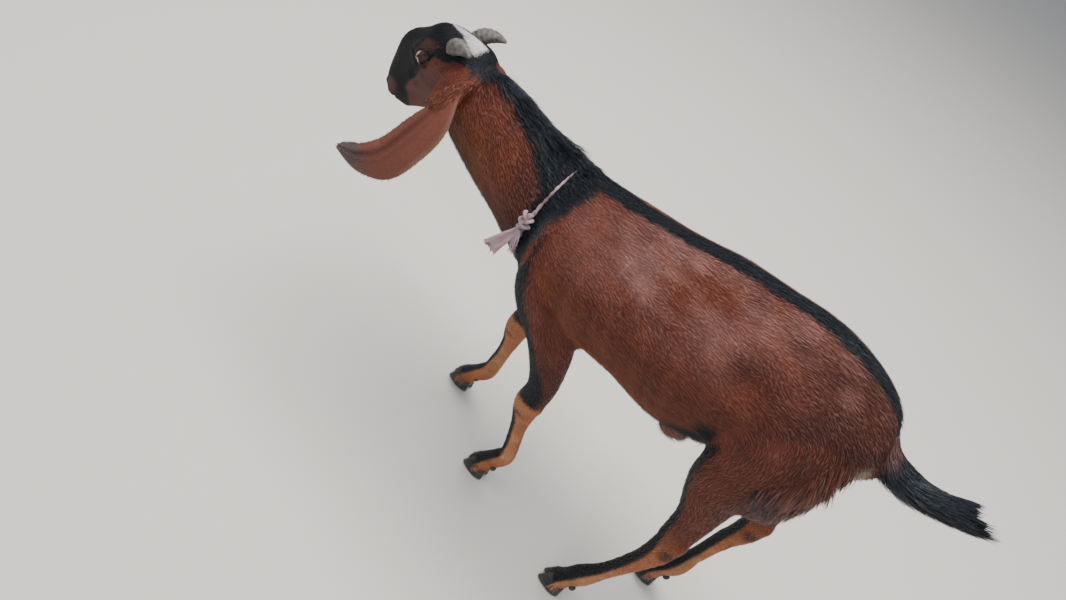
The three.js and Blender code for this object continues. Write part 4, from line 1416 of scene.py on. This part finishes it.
def mottled(tree, place, scale, low, high):
    """The piece's own colours times noise from low to high."""
    shade = add_node(tree, "ShaderNodeAttribute", {"attribute_name": "shade"})
    noise = add_node(tree, "ShaderNodeTexNoise", {"Scale": scale, "Detail": 3.0}, Vector=place)
    factor = add_node(tree, "ShaderNodeMapRange", {"To Min": low, "To Max": high}, Value=noise.outputs[0])
    return add_node(tree, "ShaderNodeMix", {"data_type": "RGBA", "blend_type": "MULTIPLY", 0: 1.0},
                    i6=shade.outputs["Color"], i7=factor.outputs[0]).outputs[2]


def coat_material(name, roughness, sheen):
    """Clean short goat hair: smooth and oily, so it has a soft silky shine that breaks up into
    flecks from tuft to tuft."""
    made, tree = begun(name)
    place = add_node(tree, "ShaderNodeTexCoord").outputs["Object"]
    finished(tree, {"Roughness": roughness, "Specular IOR Level": 0.36,
                    "Specular Tint": (0.86, 0.93, 1.0, 1.0), "Sheen Weight": sheen,
                    "Sheen Roughness": 0.4, "Sheen Tint": (0.75, 0.85, 1.0, 1.0)},
             Base_Color=mottled(tree, place, 900.0, 0.8, 1.2))
    return made


def hide_material():
    """Hide seen between the hairs: dull and finely streaked, and darkened as painted shade, so
    gaps in the coat stay dark.
    """
    made, tree = begun("Hide under short hair")
    place = add_node(tree, "ShaderNodeTexCoord").outputs["Object"]
    fine = add_node(tree, "ShaderNodeTexNoise", {"Scale": 700.0, "Detail": 4.0}, Vector=place)
    grain = add_node(tree, "ShaderNodeBump", {"Strength": 0.5, "Distance": 0.0015}, Height=fine.outputs[0])
    finished(tree, {"Roughness": 0.6, "Specular IOR Level": 0.15}, Normal=grain.outputs[0],
             Base_Color=mottled(tree, place, 500.0, 0.6, 1.05))
    return made


def horn_material(base):
    """Young horn: dry and matt, flaking into pale scales over a grey brown ground."""
    made, tree = begun("Young ringed horn")
    place = add_node(tree, "ShaderNodeTexCoord").outputs["Object"]
    flakes = add_node(tree, "ShaderNodeTexNoise", {"Scale": 160.0, "Detail": 6.0}, Vector=place).outputs[0]
    colour = add_node(tree, "ShaderNodeValToRGB", {"ramp": ((0.34, base * 0.42), (0.7, base * 1.15))},
                      Fac=flakes)
    scales = add_node(tree, "ShaderNodeBump", {"Strength": 0.6, "Distance": 0.001}, Height=flakes)
    finished(tree, {"Roughness": 0.62, "Specular IOR Level": 0.4},
             Base_Color=colour.outputs[0], Normal=scales.outputs[0])
    return made


def hoof_material(base, pale):
    """Hoof horn: a satin slate wall with fine growth lines, pale along the ground where it wears."""
    made, tree = begun("Slate hoof horn")
    place = add_node(tree, "ShaderNodeTexCoord").outputs["Object"]
    height = add_node(tree, "ShaderNodeSeparateXYZ", Vector=place)
    noise = add_node(tree, "ShaderNodeTexNoise", {"Scale": 120.0, "Detail": 3.0}, Vector=place)
    uneven = add_node(tree, "ShaderNodeMath", {"operation": "MULTIPLY_ADD", 1: 0.006},
                      i0=noise.outputs[0], i2=height.outputs[2])
    wear_and_sheen = add_node(tree, "ShaderNodeMapRange", {"From Min": 0.0045, "From Max": 0.0085},
                    Value=uneven.outputs[0])
    colour = add_node(tree, "ShaderNodeValToRGB", {"ramp": ((0.0, pale), (1.0, base))}, Fac=wear_and_sheen.outputs[0])
    lines = add_node(tree, "ShaderNodeTexWave", {"bands_direction": "Z", "Scale": 130.0, "Distortion": 3.0},
                     Vector=place)
    ridges = add_node(tree, "ShaderNodeBump", {"Strength": 0.25, "Distance": 0.0006}, Height=lines.outputs[0])
    finished(tree, {"Roughness": 0.48, "Specular IOR Level": 0.45},
             Base_Color=colour.outputs[0], Normal=ridges.outputs[0])
    return made


def eye_material():
    """A wet eye: very smooth with a clear coat, so it holds one sharp highlight."""
    made, tree = begun("Wet eye")
    place = add_node(tree, "ShaderNodeTexCoord").outputs["Object"]
    finished(tree, {"Roughness": 0.08, "Specular IOR Level": 0.6, "Coat Weight": 1.0, "Coat Roughness": 0.02},
             Base_Color=mottled(tree, place, 600.0, 0.85, 1.15))
    return made


def cloth_material(name, base, dirt):
    """Worn cotton rag: matt, fuzzy at grazing angles, with a woven bump and patches of dirt."""
    made, tree = begun(name)
    place = add_node(tree, "ShaderNodeTexCoord").outputs["Object"]
    patches = add_node(tree, "ShaderNodeTexNoise", {"Scale": 60.0, "Detail": 4.0}, Vector=place)
    colour = add_node(tree, "ShaderNodeValToRGB", {"ramp": ((0.35, dirt), (0.65, base))},
                      Fac=patches.outputs[0])
    weave = add_node(tree, "ShaderNodeTexWave",
                     {"bands_direction": "DIAGONAL", "Scale": 420.0, "Distortion": 1.5}, Vector=place)
    threads = add_node(tree, "ShaderNodeBump", {"Strength": 0.5, "Distance": 0.0004}, Height=weave.outputs[0])
    finished(tree, {"Roughness": 0.92, "Specular IOR Level": 0.2, "Sheen Weight": 0.35},
             Base_Color=colour.outputs[0], Normal=threads.outputs[0])
    return made


# --- pieces, settings and stage


def fitted(piece, slot, material, *nodes):
    """Rides a piece on the goat's one body, gives it its finish, and hides the nodes it replaces;
    its slot is not used."""
    piece.data.materials.append(material)
    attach(piece, BODY)
    if nodes:
        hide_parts(*nodes)
    return piece


def size_prop(default, name, description):
    """A length in metres, as a property."""
    return bpy.props.FloatProperty(name=name, description=description, default=default, min=0.0,
                                   subtype="DISTANCE", unit="LENGTH")


def colour_prop(default, name, description):
    """A linear colour, as a property."""
    return bpy.props.FloatVectorProperty(name=name, description=description, subtype="COLOR", size=3,
                                         min=0.0, max=1.0, default=tuple(linear(default)))


def angle_prop(degrees, name, description):
    """An angle given in degrees, as a property."""
    return bpy.props.FloatProperty(name=name, description=description, default=math.radians(degrees),
                                   subtype="ANGLE", unit="ROTATION")


def count_prop(default, name, description, least=0):
    """A whole number, as a property."""
    return bpy.props.IntProperty(name=name, description=description, default=default, min=least)


class GoatHideSettings(bpy.types.PropertyGroup):
    """Settings of the skin."""
    grid: size_prop(0.0045, "Grid", "Cell of the grid that joins the body's parts")


class GoatHeadSettings(bpy.types.PropertyGroup):
    """Settings of the horns."""
    rings: count_prop(9, "Horn rings", "Rings along each horn")
    horn: colour_prop("69655F", "Horn", "Colour of the horns")


class GoatHoofSettings(bpy.types.PropertyGroup):
    """Settings of the hooves."""
    wall: colour_prop("2C2B2C", "Hoof wall", "Colour of the hooves")
    wear_and_sheen: colour_prop("A89E90", "Worn edge", "Colour of the hooves along the ground")


class GoatClothSettings(bpy.types.PropertyGroup):
    """Settings of the rag collar."""
    width: size_prop(0.025, "Cloth width", "Width of the hanging end where it is widest")
    threads: count_prop(12, "Threads", "Frayed threads at its edge")
    rag: colour_prop("AE989B", "Rag", "Colour of the twisted rag")
    cloth: colour_prop("A57B84", "Cloth", "Colour of the hanging end")
    dirt: colour_prop("684C52", "Dirt", "Colour of the rag where it is dirty")


class GoatCoatSettings(bpy.types.PropertyGroup):
    """Settings of the coat, mane and tail."""
    density: bpy.props.FloatProperty(name="Density", description="Tufts against the usual number",
                                     default=1.0, min=0.05, max=1.2)
    length: bpy.props.FloatProperty(name="Length", description="Hair length against the usual one",
                                    default=1.0, min=0.2, max=2.0)
    mane: count_prop(3200, "Mane tufts", "Long tufts along the neck", 1)
    tail: count_prop(4800, "Tail tufts", "Long tufts of the tail", 1)


class GoatStageSettings(bpy.types.PropertyGroup):
    """Settings of the camera, the floor and the lights."""
    lens: bpy.props.FloatProperty(name="Lens", description="Focal length on a 36 mm wide film",
                                  default=26.07, min=1.0, subtype="DISTANCE_CAMERA")
    azimuth: angle_prop(18.7, "Azimuth", "How far the camera is turned from the goat's side")
    pitch: angle_prop(42.8, "Pitch", "How far the camera looks down")
    roll: angle_prop(34.6, "Roll", "How far the camera leans to one side")
    floor: colour_prop("CFCBC4", "Floor", "Colour of the floor")


SETTINGS = {
    "goat_hide": GoatHideSettings, "goat_head": GoatHeadSettings, "goat_hoof": GoatHoofSettings,
    "goat_cloth": GoatClothSettings, "goat_coat": GoatCoatSettings, "goat_stage": GoatStageSettings,
}
FLESH = ("trunk", "neck", "head", "ear_left", "ear_right", *FORE, *HIND)
CAMERA_AT = np.array([70.0, -882.0, 1220.0])


def placed(name, data, right, up, back, place):
    """An object at a place in metres, whose own axes point right, up and back."""
    made = linked(name, data)
    columns = np.eye(4)
    columns[:3] = np.stack([right, up, back, place], -1)
    made.matrix_world = Matrix(columns.tolist())
    return made


def add_light(name, place, aim, power, size, colour):
    """A square soft light that points at a place."""
    light = bpy.data.lights.new(name, "AREA")
    light.energy, light.size, light.color = power, size, tuple(linear(colour))
    back = unit(np.array(place, float) - np.array(aim, float))
    right = unit(np.cross((0.0, 1.0, 0.01), back))
    return placed(name, light, right, np.cross(back, right), back, place)


class GOAT_OT_hide(bpy.types.Operator):
    """Builds the skin with its ears and lids"""
    bl_idname = "goat.hide"
    bl_label = "Skin"

    def execute(self, context):
        skin = build_skin(context.scene.goat_hide.grid / MM)
        fitted(skin, "hide", hide_material(), *FLESH)
        return {"FINISHED"}


class GOAT_OT_eyes(bpy.types.Operator):
    """Builds both eyes"""
    bl_idname = "goat.eyes"
    bl_label = "Eyes"

    def execute(self, context):
        fitted(build_eyes(), "eye", eye_material(), "eye_left", "eye_right")
        return {"FINISHED"}


class GOAT_OT_horns(bpy.types.Operator):
    """Builds both horns"""
    bl_idname = "goat.horns"
    bl_label = "Horns"

    def execute(self, context):
        settings = context.scene.goat_head
        fitted(build_horns(settings.rings), "horn", horn_material(np.array(settings.horn)),
               "horn_left", "horn_right")
        return {"FINISHED"}


class GOAT_OT_hooves(bpy.types.Operator):
    """Builds the claws and dewclaws of all four feet"""
    bl_idname = "goat.hooves"
    bl_label = "Hooves"

    def execute(self, context):
        settings = context.scene.goat_hoof
        nodes = [f"{leg}_{kind}_{place}" for leg in (*FORE, *HIND)
                 for kind in ("claw", "dewclaw") for place in ("outer", "inner")]
        material = hoof_material(np.array(settings.wall), np.array(settings.wear_and_sheen))
        fitted(build_hooves(), "hoof", material, *nodes)
        return {"FINISHED"}


class GOAT_OT_cloth(bpy.types.Operator):
    """Builds the twisted rag round the neck, its knot and its hanging end"""
    bl_idname = "goat.cloth"
    bl_label = "Cloth collar"

    def execute(self, context):
        settings = context.scene.goat_cloth
        pale, base, dirt = (np.array(value) for value in (settings.cloth, settings.rag, settings.dirt))
        twisted = cloth_material("Twisted cotton rag", base, dirt)
        fitted(build_collar(), "cloth", twisted, "collar", "collar_knot")
        end = build_cloth_end(settings.width / MM, settings.threads)
        fitted(end, "cloth", cloth_material("Hanging cotton cloth", pale, base), "collar_end")
        return {"FINISHED"}


class GOAT_OT_coat(bpy.types.Operator):
    """Grows the short coat over the skin and the ears"""
    bl_idname = "goat.coat"
    bl_label = "Coat"

    def execute(self, context):
        settings = context.scene.goat_coat
        material = coat_material("Short glossy goat hair", 0.4, 0.03)
        for piece in grow_coat(settings.density, settings.length):
            fitted(piece, "hide", material)
        return {"FINISHED"}


class GOAT_OT_long_hair(bpy.types.Operator):
    """Grows the mane, the tail and the long hair behind the thighs"""
    bl_idname = "goat.long_hair"
    bl_label = "Mane and tail"

    def execute(self, context):
        settings = context.scene.goat_coat
        material = coat_material("Long glossy goat hair", 0.38, 0.04)
        draw = np.random.RandomState(29)
        fitted(grow_mane(settings.mane, draw), "hair", material)
        fitted(grow_tail(settings.tail, draw), "hair", material, "tail")
        fitted(grow_breeches(settings.density, draw), "hair", material)
        return {"FINISHED"}


def camera_axes(azimuth, pitch, roll):
    """The camera's right, up and back: turned about Z, tipped to look down, then leant over."""
    level = np.array([math.cos(azimuth), math.sin(azimuth), 0])
    ahead = np.array([-math.sin(azimuth), math.cos(azimuth), 0])
    upright = np.array([0, 0, 1.0])
    above = math.sin(pitch) * ahead + math.cos(pitch) * upright
    return (math.cos(roll) * level + math.sin(roll) * above,
            -math.sin(roll) * level + math.cos(roll) * above,
            -(math.cos(pitch) * ahead - math.sin(pitch) * upright))


class GOAT_OT_stage(bpy.types.Operator):
    """Adds a pale floor, soft lights and the camera"""
    bl_idname = "goat.stage"
    bl_label = "Stage"

    def execute(self, context):
        settings, scene = context.scene.goat_stage, context.scene
        mesh = bpy.data.meshes.new("floor")
        mesh.from_pydata([(-40, -40, 0), (40, -40, 0), (40, 40, 0), (-40, 40, 0)], [], [(0, 1, 2, 3)])
        floor = linked("floor", mesh)
        # Painted studio floor: flat and matt, so the goat's shadow lies soft on it.
        material, tree = begun("Matt pale floor paint")
        finished(tree, {"Base Color": (*settings.floor, 1), "Roughness": 0.9})
        floor.data.materials.append(material)
        world = bpy.data.worlds.new("Soft daylight")
        world.use_nodes = True
        sky = world.node_tree.nodes["Background"].inputs
        sky[0].default_value, sky[1].default_value = (0.82, 0.88, 1.0, 1), 0.45
        scene.world = world
        add_light("window above", (-0.3, 0.5, 4.2), (0, 0, 0.3), 330, 3.2, "FFFDF8")
        add_light("window behind the camera", (0.6, -3.4, 2.8), (0, 0, 0.4), 60, 2.6, "F4F8FF")
        camera = bpy.data.cameras.new("camera")
        camera.lens, camera.sensor_width = settings.lens, 36.0
        camera.clip_start, camera.clip_end = 0.05, 200.0
        camera.dof.use_dof = False
        axes = camera_axes(settings.azimuth, settings.pitch, settings.roll)
        scene.camera = placed("camera", camera, *axes, CAMERA_AT * MM + ORIGIN)
        return {"FINISHED"}


OPERATORS = (GOAT_OT_hide, GOAT_OT_eyes, GOAT_OT_horns, GOAT_OT_hooves, GOAT_OT_cloth, GOAT_OT_coat,
             GOAT_OT_long_hair, GOAT_OT_stage)


class GOAT_PT_panel(bpy.types.Panel):
    """Lists the goat's operators"""
    bl_label = "Goat"
    bl_idname = "GOAT_PT_panel"
    bl_space_type = "VIEW_3D"
    bl_region_type = "UI"
    bl_category = "Goat"

    def draw(self, context):
        for group, settings in SETTINGS.items():
            box = self.layout.box()
            for name in settings.__annotations__:
                box.prop(getattr(context.scene, group), name)
        for operator in OPERATORS:
            self.layout.operator(operator.bl_idname)


def register():
    """Registers the settings, operators and panel."""
    for each in (*SETTINGS.values(), *OPERATORS, GOAT_PT_panel):
        bpy.utils.register_class(each)
    for group, settings in SETTINGS.items():
        setattr(bpy.types.Scene, group, bpy.props.PointerProperty(type=settings))


def unregister():
    """Takes them away again."""
    for group in SETTINGS:
        delattr(bpy.types.Scene, group)
    for each in (GOAT_PT_panel, *reversed(OPERATORS), *reversed(SETTINGS.values())):
        bpy.utils.unregister_class(each)


def main():
    register()
    bpy.ops.goat.hide()
    bpy.ops.goat.eyes()
    bpy.ops.goat.horns()
    bpy.ops.goat.hooves()
    bpy.ops.goat.cloth()
    bpy.ops.goat.coat()
    bpy.ops.goat.long_hair()
    bpy.ops.goat.stage()


if __name__ == "__main__":
    main()
